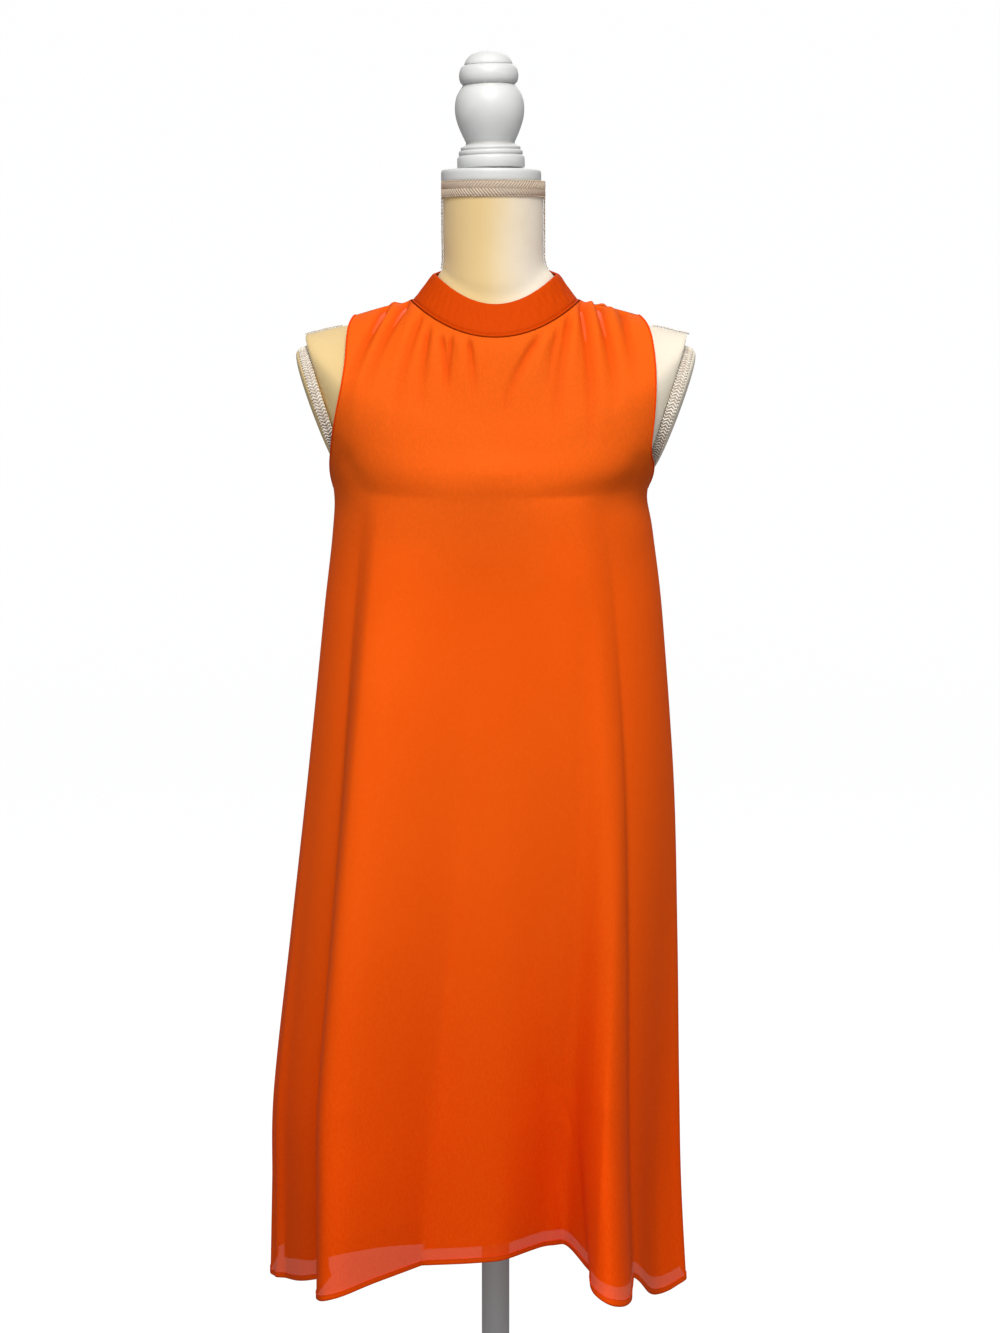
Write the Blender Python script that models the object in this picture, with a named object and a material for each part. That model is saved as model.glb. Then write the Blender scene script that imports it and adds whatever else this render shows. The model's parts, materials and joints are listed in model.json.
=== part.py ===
"""A sleeveless trapeze dress on a limbless dress form with a turned stand.

The dress is a front, two back halves, a lining and a standing neckband, all thin
walls of cloth. Its shape is worked out from a stack of sections: each section is
a ring round the form, given by how far it reaches to the left, right, front and
back, and how high each of those lies. Above the underarm the sections are the
form's own; below it they flare and hang free, and fold tables push them out.
Metres, +Z up, the front faces -Y, and the origin is on the floor under the pole.
"""

import math
from collections import namedtuple

import bmesh
import bpy
import numpy as np
from mathutils import Matrix, Vector

MM = 0.001
NECK_POINT_HEIGHT = 1.390  # where neck and shoulder meet, above the floor
SEAM_GAP = 0.3 * MM  # between neighbouring pieces

# How far the cloth lies outside the form's surface: where it rests, and where it hangs.
LINING_EASE = (0.6 * MM, -7 * MM)
SHELL_EASE = (4.5 * MM, 4.0 * MM)
FREE_FROM = 0.25  # the share of the skirt below which the cloth hangs free
SHOULDER_LIFT = 1 * MM  # the gathered cloth stands off the tips of the shoulders
SHOULDER_NARROWNESS = 6
LINING_WALL = 1.0 * MM
SHELL_WALL = 1.2 * MM
HEM_WALL = 2.2 * MM
HEM_DEPTH = 8.0 * MM
HEM_STEP = 0.8 * MM  # the turning's upper edge
BAND_EASE = (0.8 * MM, 2.0 * MM)  # at its top edge, and at its seam
BAND_WALL = 2.6 * MM
BAND_STEP = 0.8 * MM  # the band's edge is this far above the panels' edges

LINING_SHORTER = 22 * MM  # how far above the hem the lining stops
SEAM_RADIUS = 90 * MM  # how far a shoulder seam's gap is from the axis that turns are about
NECK_EDGE_REACH = 0.1  # a panel's top points this far past the seam still lie on the neck
NECK_SLOPE = 28 * MM  # down the form from one row to the next at the neck seam
FRONT_COLUMNS = 38
BACK_COLUMNS = 16
FRONT_LINING_COLUMNS = 20
BACK_LINING_COLUMNS = 10
EDGE_CLOSENESS = 0.35  # how much closer columns lie at a panel's sides
PLATE_SIDES = 26
# Rows of a panel: shares of the armhole's length, then places down the skirt.
YOKE_ROWS = (0, 0.06, 0.13, 0.21, 0.3, 0.39, 0.48, 0.57, 0.66, 0.75, 0.84, 0.92, 1)
SKIRT_ROWS = (11.7, 12.6, 13.6, 14.6, 15.6, 16.8)
LINING_YOKE_ROWS = (0, 0.07, 0.15, 0.25, 0.36, 0.47, 0.57, 0.67, 0.77, 0.86, 0.94, 1)
LINING_SKIRT_ROWS = (12.6, 14.6, 15.6, 16.8)
CURVE_POINTS = 500  # points on a section's curve before it is divided
TURN_WEIGHT = 0.045  # metres of curve that one radian of turning counts for
TOP_FADE = 3  # how soon the shape of a panel's top edge dies away down its rows

Section = namedtuple("Section", "left right side_y side_z front_y front_z back_y back_z square")

# One row for each ring round the form, in millimetres, heights from the neck point.
NECK_AND_SHOULDERS = (
    Section(52, 48, -4, 110.5, -55, 110.5, 47, 110.5, 2.00),  # neck top
    Section(52, 48, -2, 62, -55, 56, 51, 64, 2.00),
    Section(52, 49, 0, 36, -58, 18, 56, 48, 2.00),
    Section(57, 58, 0, 24, -61, -5, 60, 38, 2.00),  # top of the neckband
    Section(79, 79, 0, -4, -82, -37, 69, 8, 2.05),  # neckband seam
    Section(107, 108, 0, -12, -89, -62, 80, -20, 2.10),
    Section(140, 144, 0, -21.5, -95, -88, 89, -52, 2.15),  # tip of the dress's shoulder
    Section(168, 172, 0, -27.5, -100, -108, 94, -82, 2.20),
    Section(189, 193, 0, -39, -106, -126, 98, -108, 2.30),
    Section(178, 183, -2, -88, -113, -148, 98, -134, 2.35),  # middle of the arm plate
    Section(163, 167, -2, -130, -119, -166, 94, -154, 2.35),
)
FORM_BELOW_ARMS = (
    Section(143, 143, -2, -168, -120, -184, 86, -172, 2.35),  # underarm
    Section(133, 133, -2, -218, -104, -228, 79, -222, 2.30),
    Section(118, 118, 0, -370, -83, -370, 69, -370, 2.20),  # waist
    Section(140, 140, 0, -455, -90, -455, 88, -455, 2.20),
    Section(160, 160, 0, -560, -94, -560, 98, -560, 2.25),  # hip
    Section(152, 152, 0, -640, -88, -640, 92, -640, 2.25),
)
DRESS_BELOW_ARMS = (
    Section(151, 142, -2, -178, -122, -184, 90, -184, 2.35),  # underarm
    Section(152, 147, -2, -222, -120, -229, 93, -226, 2.35),
    Section(161, 157, -2, -302, -115, -304, 101, -302, 2.40),
    Section(179, 170, -4, -464, -118, -452, 113, -458, 2.45),
    Section(198, 174, -6, -626, -122, -600, 122, -615, 2.45),
    Section(216, 175, -8, -786, -123, -748, 131, -772, 2.45),
    Section(218, 176, -10, -880, -124, -831, 136, -861, 2.45),
    Section(220, 180, -12, -972, -125, -917, 141, -954, 2.45),  # hem
)
BAND_TOP_PLACE = 3
BAND_ROWS = 4
SEAM_PLACE = 4
SHOULDER_TIP_PLACE = 5.85
UNDERARM_PLACE = len(NECK_AND_SHOULDERS)

# The edge of the armholes: how far from the middle it runs on the left and on the right.
ArmholeRow = namedtuple("ArmholeRow", "place left right")
ARMHOLE_ROWS = (
    ArmholeRow(5.85, 134.4, 137.9),
    ArmholeRow(6.1, 138.4, 143.3),
    ArmholeRow(6.5, 140.0, 147.2),
    ArmholeRow(7.0, 140.0, 149.0),
    ArmholeRow(7.5, 141.7, 150.5),
    ArmholeRow(8.0, 142.4, 149.2),
    ArmholeRow(8.5, 144.6, 147.5),
    ArmholeRow(9.0, 147.3, 145.7),
    ArmholeRow(9.5, 149.1, 143.6),
    ArmholeRow(10.0, 150.5, 141.5),
)
ARMHOLE_LOW_PLACE = 10.0
SCOOP_ROUNDNESS = 1.2  # of the armhole below that place

# Folds: where each lies at the underarm and at the hem (degrees round from the front,
# + to the right), where on the skirt it starts, how soon it grows, how far it stands out
# at the hem, the way it points, how it lifts the hem, then its width in degrees and the
# roundness of its flank at the hem, before its crest and after it: a round flank is 2, a
# steep one below 1.
Fold = namedtuple("Fold", "top hem start growth depth aim lift before steep_before after steep_after")
BODY_FOLDS = (
    Fold(28, 16.5, 0.10, 1.2, -44, 6, 3, 17, 1.6, 11, 1.2),
    Fold(-14, -8, 0.30, 1.2, 6, 0, 0, 22, 2.0, 18, 2.0),
    Fold(160, 172, 0.10, 1.0, -24, 176, 0, 18, 2.0, 18, 2.0),
    Fold(70, 67, 0.05, 0.9, -21, 50, -4, 25, 1.5, 20, 1.6),
    Fold(-74, -74, 0.05, 0.9, -13, -50, 2, 16, 1.6, 26, 1.6),
)
SHELL_FOLDS = (
    Fold(-41, -35.2, 0.00, 0.85, 92, -10, 7, 6.2, 0.2, 21, 1.05),
    Fold(27, 33.2, 0.00, 0.6, 37, -2, 0, 17, 1.5, 7.4, 0.14),
    Fold(27, 33.2, 0.60, 1.8, 61, -4, 4, 8.8, 0.12, 7.8, 0.14),
    Fold(124, 128, 0.05, 0.9, 58, 160, 5, 10, 0.8, 9, 0.8),
    Fold(150, 154, 0.15, 1.0, 44, 172, 4, 9, 0.9, 10, 0.9),
    Fold(196, 193, 0.10, 0.9, 62, 182, 6, 10, 0.8, 11, 0.8),
    Fold(228, 226, 0.02, 0.85, 74, 200, 6, 11, 0.7, 9, 0.7),
)
TOP_WIDTH = 1.9  # a fold is this much wider at the underarm than at the hem
START_ROUNDNESS = 2.0  # of both flanks, where a fold starts

TORSO_INSET = 1.8 * MM  # the padded body lies this far inside the sections, under the cloth
TORSO_ROWS = (
    0, 1, 1.35, 1.7, 2, 2.3, 2.6, 3, 3.25, 3.5, 3.75, 4, 4.5, 5, 5.5, 6, 6.5, 7, 7.5, 8, 8.5, 9, 9.5,
    10, 10.5, 11, 11.5, 12, 13, 14, 15, 15.7, 16,
)
TORSO_TURN = 10  # degrees between the torso's columns
TORSO_FOOT = 10 * MM  # the rounding under the hip

# Arm plates: ovals that lean out at the top.
PLATE_TOP_X = {"left": 181 * MM, "right": 182 * MM}
PLATE_TOP_Z = -40 * MM
PLATE_LEAN = 0.27
PLATE_SEAT_FOOT = -172 * MM  # where the flat that a plate sits on ends, below the plate
PLATE_CENTRE_Z = -102 * MM
PLATE_CENTRE_Y = -6 * MM
PLATE_HALF_HEIGHT = 61 * MM
PLATE_HALF_DEPTH = 55 * MM
PLATE_RIM = 9.5 * MM
PLATE_BULGE = 7 * MM
PLATE_CROWN_RISE = 26 * MM  # the crown is fullest this far above the plate's middle
PLATE_BRAID_EDGES = (9.5 * MM, 0.3 * MM)  # from the plate's back
BRAID_THICKNESS = 2.2 * MM
STRIP_THICKNESS = 1.6 * MM
BRAID_WIDTH = 9 * MM
# Where the braids on the form start and end, by place.
NECK_BRAID = (0.01, 0.32)
NECK_SIDE_BRAID = (0.34, 2.3)
SHOULDER_BRAID = (6.32, 7.55)
STRIP_ROWS = 8

# Cap, finial and stand, as (radius, height) down the outside, in millimetres.
CAP_RADIUS = 48 * MM
CAP_SHIFT = -4 * MM
CAP_HEIGHT = 13 * MM
FINIAL_LEAN = math.radians(1.5)
FINIAL_PROFILE = (
    (0, 111), (9, 110), (16.5, 107), (21, 102.6), (23.2, 97.6), (25, 96.4),
    (27.6, 92.4), (28.4, 87), (27.6, 82), (25.2, 79), (27.2, 75.4), (31, 69),
    (33, 60), (33, 53), (30.8, 42), (26.8, 31.5), (23.6, 25.8), (23.6, 22),
    (28, 19.8), (28, 17.4), (30.2, 16.2), (30.2, 12.4), (32, 10.2), (32.4, 0), (0, 0),
)
POLE_RADIUS = 14 * MM
SOCKET_PROFILE = ((0, 0), (58, 0), (58, -10), (46, -16), (30, -20), (24, -34), (17, -40), (0, -40))
BASE_PROFILE = (
    (0, 92), (18, 92), (22, 86), (21, 74), (26, 56), (38, 44), (64, 36), (120, 30),
    (168, 26), (184, 20), (190, 12), (188, 4), (184, 0), (0, 0),
)

BUTTON_RADIUS = 5.2 * MM
BUTTON_HEIGHT = 3.2 * MM
BUTTON_PLACES = (3.22, 3.72)
BUTTON_TURN = math.radians(189)


def linear(red, green, blue):
    """A screen colour, 0 to 255, as the linear values that a material holds."""
    shares = (red / 255, green / 255, blue / 255)
    return tuple(v / 12.92 if v < 0.04 else ((v + 0.055) / 1.055) ** 2.4 for v in shares)


def material(name, colour, roughness, metallic=0.0):
    made = bpy.data.materials.new(name)
    made.use_nodes = True
    shader = made.node_tree.nodes["Principled BSDF"]
    shader.inputs["Base Color"].default_value = (*colour, 1.0)
    shader.inputs["Roughness"].default_value = roughness
    shader.inputs["Metallic"].default_value = metallic
    made.diffuse_color = (*colour, 1.0)
    return made


def table(rows):
    """The rows of a section table in metres, heights above the floor."""
    values = np.array(rows, float)
    values[:, :-1] *= MM
    for column in ("side_z", "front_z", "back_z"):
        values[:, Section._fields.index(column)] += NECK_POINT_HEIGHT
    return values


FORM = table(NECK_AND_SHOULDERS + FORM_BELOW_ARMS)
DRESS = table(NECK_AND_SHOULDERS + DRESS_BELOW_ARMS)
HEM_PLACE = len(DRESS) - 1


def between(rows, place):
    """The rows at places between a table's rows, on smooth curves through them."""
    place = np.clip(np.asarray(place, float), 0, len(rows) - 1)
    first = np.minimum(place.astype(int), len(rows) - 2)
    part = (place - first)[..., None]
    before = rows[np.maximum(first - 1, 0)]
    here = rows[first]
    after = rows[first + 1]
    beyond = rows[np.minimum(first + 2, len(rows) - 1)]
    bend = 2 * before - 5 * here + 4 * after - beyond
    twist = 3 * here - before - 3 * after + beyond
    return 0.5 * (2 * here + (after - before) * part + bend * part**2 + twist * part**3)


def ring(rows, place, turn):
    """Points on the surface that a section table gives, by place down it and turn round it."""
    place, turn = np.broadcast_arrays(np.asarray(place, float), np.asarray(turn, float))
    row = Section(*np.moveaxis(between(rows, place), -1, 0))
    across = np.sin(turn)
    ahead = np.cos(turn)
    bend = 2 / row.square
    reach = np.where(across > 0, row.right, row.left)
    depth = np.where(ahead > 0, row.front_y, row.back_y)
    drop = np.where(ahead > 0, row.front_z, row.back_z)
    x = reach * np.sign(across) * np.abs(across) ** bend
    y = row.side_y + (depth - row.side_y) * np.abs(ahead) ** bend
    z = row.side_z + (drop - row.side_z) * ahead**2
    return np.stack((x, y, z), axis=-1)


def ring_normal(rows, place, turn):
    """The outward normals of that surface."""
    step = 0.004
    down = ring(rows, np.asarray(place) + step, turn) - ring(rows, np.asarray(place) - step, turn)
    along = ring(rows, place, np.asarray(turn) + step) - ring(rows, place, np.asarray(turn) - step)
    normal = np.cross(down, along)
    return normal / np.linalg.norm(normal, axis=-1, keepdims=True)


def skirt_share(place):
    """How far down the skirt a place is: 0 at the underarm, 1 at the hem."""
    heights = DRESS[:, Section._fields.index("side_z")]
    height = np.interp(place, range(len(heights)), heights)
    share = (heights[UNDERARM_PLACE] - height) / (heights[UNDERARM_PLACE] - heights[-1])
    return np.clip(share, 0, 1)


def folded(folds, place, turn):
    """How far a fold table moves the points of the dress."""
    share = skirt_share(place)
    moved = np.zeros(np.broadcast(share, turn).shape + (3,))
    for fold in folds:
        grown = np.clip((share - fold.start) / (1 - fold.start), 0, 1) ** fold.growth
        centre = np.radians(fold.top + (fold.hem - fold.top) * share)
        width = 1 + (TOP_WIDTH - 1) * (1 - share)
        off = (turn - centre + np.pi) % (2 * np.pi) - np.pi
        off = off / np.radians(np.where(off < 0, fold.before, fold.after) * width)
        steep = np.where(off < 0, fold.steep_before, fold.steep_after)
        power = START_ROUNDNESS * (steep / START_ROUNDNESS) ** grown
        crest = np.cos(np.clip(off, -1, 1) * np.pi / 2).clip(0, 1) ** power * grown
        aim = math.radians(fold.aim)
        push = np.array((math.sin(aim) * fold.depth, -math.cos(aim) * fold.depth, fold.lift)) * MM
        moved += crest[..., None] * push
    return moved


def cloth_points(place, turn, ease, folds):
    """Points of one layer of cloth, by place down the dress and turn round it."""
    resting, hanging = ease
    out = resting + (hanging - resting) * np.clip(skirt_share(place) / FREE_FROM, 0, 1)
    points = ring(DRESS, place, turn) + ring_normal(DRESS, place, turn) * out[..., None]
    tip = np.exp(-((place - SHOULDER_TIP_PLACE) ** 2)) * np.abs(np.sin(turn)) ** SHOULDER_NARROWNESS
    points[..., 2] += SHOULDER_LIFT * tip
    return points + folded(folds, place, turn)


def lengths(curve):
    steps = np.linalg.norm(np.diff(curve, axis=0), axis=1)
    return np.concatenate(((0,), np.cumsum(steps)))


def divided(curve, shares, trim=0.0, values=None):
    """Values at shares of a curve's length, or its points, leaving a trim at both ends."""
    run = lengths(curve)
    wanted = trim + np.asarray(shares) * (run[-1] - 2 * trim)
    values = curve if values is None else values
    return np.stack([np.interp(wanted, run, values[:, axis]) for axis in range(values.shape[1])], axis=-1)


def column_shares(curve, count):
    """Shares of a curve's length that lie closer together where it bends."""
    run = lengths(curve)
    steps = np.diff(curve, axis=0)
    headings = np.unwrap(np.arctan2(steps[:, 1], steps[:, 0]))
    turning = np.concatenate(((0,), np.cumsum(np.abs(np.diff(headings))), (0,)))
    turning[-1] = turning[-2]
    measure = run + TURN_WEIGHT * turning
    even = np.linspace(0, 1, count + 1)
    even -= EDGE_CLOSENESS * np.sin(2 * math.pi * even) / (2 * math.pi)
    return np.interp(even * measure[-1], measure, run / run[-1])


def armhole_turn(place, column):
    """How far round from the front, or from the back, the armhole's edge lies on a section."""
    rows = [(row.place, getattr(row, column) * MM) for row in ARMHOLE_ROWS]
    low = min(place, ARMHOLE_LOW_PLACE)
    reach = np.interp(low, [row[0] for row in rows], [row[1] for row in rows])
    section = Section(*between(DRESS, low))
    edge = math.asin(min(1, (reach / getattr(section, column)) ** (section.square / 2)))
    below = max(0, (place - ARMHOLE_LOW_PLACE) / (UNDERARM_PLACE - ARMHOLE_LOW_PLACE))
    return edge + (math.radians(90) - edge) * below**SCOOP_ROUNDNESS


def armhole_path(column, turn_of):
    """The armhole's edge from the shoulder's tip to the underarm, as rows of place and turn."""
    places = np.linspace(SHOULDER_TIP_PLACE, UNDERARM_PLACE, 100)
    return np.array([(place, turn_of(armhole_turn(place, column))) for place in places])


def top_path(corners):
    """A panel's top edge, through corners of place and turn."""
    corners = np.array(corners)
    runs = [np.linspace(start, end, 80, endpoint=False) for start, end in zip(corners, corners[1:])]
    return np.concatenate((*runs, corners[-1:]))


def patch(top, bottom, left, right, columns, rows):
    """Places and turns all over a patch between four edges, divided evenly along each."""
    top, bottom = (divided(ring(DRESS, *edge.T), columns, values=edge) for edge in (top, bottom))
    left, right = (divided(ring(DRESS, *edge.T), rows, values=edge) for edge in (left, right))
    u = np.asarray(columns)[:, None]
    v = np.asarray(rows)[:, None, None]
    top_bend = top - (1 - u) * top[0] - u * top[-1]
    bottom_bend = bottom - (1 - u) * bottom[0] - u * bottom[-1]
    straight = (1 - u) * left[:, None] + u * right[:, None]
    return straight + (1 - v) ** TOP_FADE * top_bend + v * bottom_bend


Cut = namedtuple("Cut", "name columns lining_columns start end top left right")
Layer = namedtuple("Layer", "name yoke_rows skirt ease folds wall_at finish")


def panel_cuts():
    """The three pieces that both the shell and the lining are cut in."""
    half = math.pi / 2
    gap = SEAM_GAP / 2 / SEAM_RADIUS
    tip, neck = SHOULDER_TIP_PLACE, SEAM_PLACE + SEAM_GAP / NECK_SLOPE
    middle = np.linspace(neck, UNDERARM_PLACE, 100)
    fronts = ((tip, gap - half), (neck, gap - half), (neck, half - gap), (tip, half - gap))
    rights = ((tip, half + gap), (neck, half + gap), (neck, math.pi - gap))
    lefts = ((neck, math.pi + gap), (neck, 3 * half - gap), (tip, 3 * half - gap))
    front_columns = (FRONT_COLUMNS, FRONT_LINING_COLUMNS)
    back_columns = (BACK_COLUMNS, BACK_LINING_COLUMNS)
    front_left = armhole_path("left", lambda turn: -min(turn, half - gap))
    front_right = armhole_path("right", lambda turn: min(turn, half - gap))
    back_right = armhole_path("right", lambda turn: max(math.pi - turn, half + gap))
    back_left = armhole_path("left", lambda turn: min(math.pi + turn, 3 * half - gap))
    middle_right = np.stack((middle, np.full(len(middle), math.pi - gap)), axis=-1)
    middle_left = np.stack((middle, np.full(len(middle), math.pi + gap)), axis=-1)
    return (
        Cut("front", *front_columns, -half, half, top_path(fronts), front_left, front_right),
        Cut("back_right", *back_columns, half, math.pi, top_path(rights), back_right, middle_right),
        Cut("back_left", *back_columns, math.pi, 3 * half, top_path(lefts), middle_left, back_left),
    )


def curve_normals(grid):
    """Outward normals of a grid of points whose rows run down and whose columns run round."""
    down = np.gradient(grid, axis=0)
    along = np.gradient(grid, axis=1)
    normal = np.cross(down, along)
    return normal / np.linalg.norm(normal, axis=-1, keepdims=True)


def mesh_object(name, vertices, faces, finish):
    mesh = bpy.data.meshes.new(name)
    mesh.from_pydata([tuple(v) for v in vertices], [], faces)
    mesh.materials.append(finish)
    mesh.shade_smooth()
    mesh.set_sharp_from_angle(angle=math.radians(50))
    made = bpy.data.objects.new(name, mesh)
    bpy.context.scene.collection.objects.link(made)
    return made


def halves(vertices, corners):
    """The two triangles of a quad, split along its shorter diagonal."""
    a, b, c, d = corners
    if np.linalg.norm(vertices[a] - vertices[c]) <= np.linalg.norm(vertices[b] - vertices[d]):
        return (a, b, c), (a, c, d)
    return (a, b, d), (b, c, d)


def wall(name, outer, inner, finish, closed=False):
    """A wall between two grids of points. A closed one runs all the way round."""
    rows, columns = outer.shape[:2]
    vertices = np.concatenate((outer.reshape(-1, 3), inner.reshape(-1, 3)))
    behind = rows * columns
    faces = []
    last = columns if closed else columns - 1

    def at(i, j):
        return i * columns + j % columns

    for i in range(rows - 1):
        for j in range(last):
            for triangle in halves(vertices, (at(i, j), at(i + 1, j), at(i + 1, j + 1), at(i, j + 1))):
                faces.append(triangle)
                faces.append(tuple(behind + k for k in reversed(triangle)))
    for j in range(last):
        faces.append((at(0, j), at(0, j + 1), behind + at(0, j + 1), behind + at(0, j)))
        low = rows - 1
        faces.append((at(low, j + 1), at(low, j), behind + at(low, j), behind + at(low, j + 1)))
    if not closed:
        for i in range(rows - 1):
            faces.append((at(i + 1, 0), at(i, 0), behind + at(i, 0), behind + at(i + 1, 0)))
            end = columns - 1
            faces.append((at(i, end), at(i + 1, end), behind + at(i + 1, end), behind + at(i, end)))
    return mesh_object(name, vertices, faces, finish)


def panel(cut, layer, columns):
    """A panel of cloth: a patch over the body above the underarm, and hanging rows below it."""
    turns = np.linspace(cut.start, cut.end, CURVE_POINTS)
    places = (UNDERARM_PLACE, *layer.skirt)
    curves = [cloth_points(np.full(CURVE_POINTS, place), turns, layer.ease, layer.folds) for place in places]
    shares = column_shares(curves[-1], columns)
    bottom = np.stack((np.full(CURVE_POINTS, float(UNDERARM_PLACE)), turns), axis=-1)
    yoke = patch(cut.top, bottom, cut.left, cut.right, shares, layer.yoke_rows)
    upper = cloth_points(yoke[:-1, :, 0], yoke[:-1, :, 1], layer.ease, layer.folds)
    lower = np.stack([divided(curve, shares, SEAM_GAP / 2) for curve in curves])
    inner = np.concatenate((upper, lower))
    thickness = np.array([layer.wall_at(0)] * len(upper) + [layer.wall_at(place) for place in places])
    outer = inner + curve_normals(inner) * thickness[:, None, None]
    wall(cut.name + layer.name, outer, inner, layer.finish)
    top = yoke[0]
    return top[top[:, 0] < SEAM_PLACE + NECK_EDGE_REACH, 1]


def above_hem(height):
    """The place a height above the hem, at the front."""
    drop = (DRESS[-2] - DRESS[-1])[Section._fields.index("front_z")]
    return HEM_PLACE - height / drop


def shell_wall(place):
    return HEM_WALL if place >= above_hem(HEM_DEPTH) else SHELL_WALL


def lining_wall(place):
    return LINING_WALL


def make_dress(chiffon, lining_cloth):
    skirt = (*SKIRT_ROWS, above_hem(HEM_DEPTH + HEM_STEP), above_hem(HEM_DEPTH), HEM_PLACE)
    shell = Layer("_panel", YOKE_ROWS, skirt, SHELL_EASE, BODY_FOLDS + SHELL_FOLDS, shell_wall, chiffon)
    skirt = (*LINING_SKIRT_ROWS, above_hem(LINING_SHORTER))
    lining = Layer("_lining", LINING_YOKE_ROWS, skirt, LINING_EASE, BODY_FOLDS, lining_wall, lining_cloth)
    neck_turns = []
    for cut in panel_cuts():
        neck_turns.extend(panel(cut, shell, cut.columns))
        panel(cut, lining, cut.lining_columns)
    make_neckband(chiffon, neck_turns)
    for number, place in enumerate(BUTTON_PLACES, 1):
        make_button("neck_button_%d" % number, place, chiffon)


def band_grid(places, turns, ease):
    place, turn = np.meshgrid(places, turns, indexing="ij")
    return ring(DRESS, place, turn) + ring_normal(DRESS, place, turn) * ease


def make_neckband(finish, seam_turns):
    """The standing band: one strip round the neck whose ends meet at the middle of the back."""
    turns = sorted((turn + math.pi) % (2 * math.pi) - math.pi for turn in seam_turns)
    places = np.linspace(BAND_TOP_PLACE, SEAM_PLACE - BAND_STEP / NECK_SLOPE, BAND_ROWS)
    ease = np.linspace(*BAND_EASE, len(places))[:, None, None]
    inner = band_grid(places, turns, ease)
    wall("neckband", inner + curve_normals(inner) * BAND_WALL, inner, finish)


def make_button(name, place, finish):
    """A small covered button on the left end of the neckband."""
    normal = Vector(ring_normal(DRESS, place, BUTTON_TURN))
    ease = np.interp(place, (BAND_TOP_PLACE, SEAM_PLACE), BAND_EASE)
    seat = Vector(ring(DRESS, place, BUTTON_TURN)) + normal * (ease + BAND_WALL + 2 * SEAM_GAP)
    radius = BUTTON_RADIUS / MM
    height = BUTTON_HEIGHT / MM
    profile = ((0, height), (radius * 0.55, height * 0.88), (radius * 0.9, height * 0.5),
               (radius, height * 0.2), (radius * 0.85, 0), (0, 0))
    facing = normal.to_track_quat("Z", "Y").to_matrix().to_4x4()
    turned(name, profile, 14, finish, Matrix.Translation(seat) @ facing)


def turned(name, profile, sides, finish, place):
    """A solid turned about Z from its profile in millimetres, then set in its place."""
    made = bmesh.new()
    points = [made.verts.new((radius * MM, 0, height * MM)) for radius, height in profile]
    edges = [made.edges.new(pair) for pair in zip(points, points[1:])]
    bmesh.ops.spin(made, geom=points + edges, axis=(0, 0, 1), cent=(0, 0, 0), steps=sides, angle=2 * math.pi)
    bmesh.ops.remove_doubles(made, verts=made.verts, dist=0.02 * MM)
    bmesh.ops.dissolve_degenerate(made, edges=made.edges, dist=0.01 * MM)
    bmesh.ops.recalc_face_normals(made, faces=made.faces)
    made.transform(place)
    mesh = bpy.data.meshes.new(name)
    made.to_mesh(mesh)
    made.free()
    mesh.materials.append(finish)
    mesh.shade_smooth()
    mesh.set_sharp_from_angle(angle=math.radians(35))
    part = bpy.data.objects.new(name, mesh)
    bpy.context.scene.collection.objects.link(part)
    return part


def make_torso(finish):
    """The padded body: rings from the neck top to the hip, cut flat where the arm plates go."""
    turns = np.radians(np.arange(-180, 180, TORSO_TURN))
    place, turn = np.meshgrid(TORSO_ROWS, turns, indexing="ij")
    grid = ring(FORM, place, turn) - ring_normal(FORM, place, turn) * TORSO_INSET
    height = grid[..., 2] - NECK_POINT_HEIGHT
    lean = (np.maximum(height, PLATE_SEAT_FOOT) - PLATE_TOP_Z) * PLATE_LEAN
    lean += np.maximum(PLATE_SEAT_FOOT - height, 0)
    grid[..., 0] = np.clip(grid[..., 0], -PLATE_TOP_X["left"] - lean, PLATE_TOP_X["right"] + lean)
    rows, columns = grid.shape[:2]
    bottom = grid[-1] * (0.9, 0.9, 1) - (0, 0, TORSO_FOOT)
    vertices = np.concatenate((grid.reshape(-1, 3), bottom))
    faces = [tuple(range(columns))]
    for i in range(rows):
        for j in range(columns):
            k = (j + 1) % columns
            faces.append((i * columns + j, (i + 1) * columns + j, (i + 1) * columns + k, i * columns + k))
    faces.append(tuple(rows * columns + j for j in reversed(range(columns))))
    mesh_object("torso", vertices, faces, finish)
    return bottom[0, 2]


def plate_place(side, label):
    """The frame of an arm plate: Z out of the plate, X up along it."""
    lean = math.atan(PLATE_LEAN)
    out = Vector((side * math.cos(lean), 0, -math.sin(lean)))
    up = Vector((side * math.sin(lean), 0, math.cos(lean)))
    x = PLATE_TOP_X[label] + (PLATE_CENTRE_Z - PLATE_TOP_Z) * PLATE_LEAN
    centre = Vector((side * x, PLATE_CENTRE_Y, NECK_POINT_HEIGHT + PLATE_CENTRE_Z)) + out * SEAM_GAP
    frame = Matrix((up, out.cross(up), out)).transposed().to_4x4()
    return Matrix.Translation(centre) @ frame


def make_arm_plate(label, side, finish):
    """A cloth-covered oval plate with a short rim and a crowned face."""
    radius = PLATE_HALF_DEPTH / MM
    rim = PLATE_RIM / MM
    bulge = PLATE_BULGE / MM
    profile = [(radius * math.cos(a), rim + bulge * math.sin(a)) for a in np.radians((90, 66, 44, 24, 8))]
    profile[0] = (0, rim + bulge)
    profile += [(radius, rim - 1), (radius, 0), (0, 0)]
    stretch = Matrix.Diagonal((PLATE_HALF_HEIGHT / PLATE_HALF_DEPTH, 1, 1, 1))
    place = plate_place(side, label)
    plate = turned("arm_plate_" + label, profile, PLATE_SIDES, finish, place @ stretch)
    raise_crown(plate.data, place)


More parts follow.
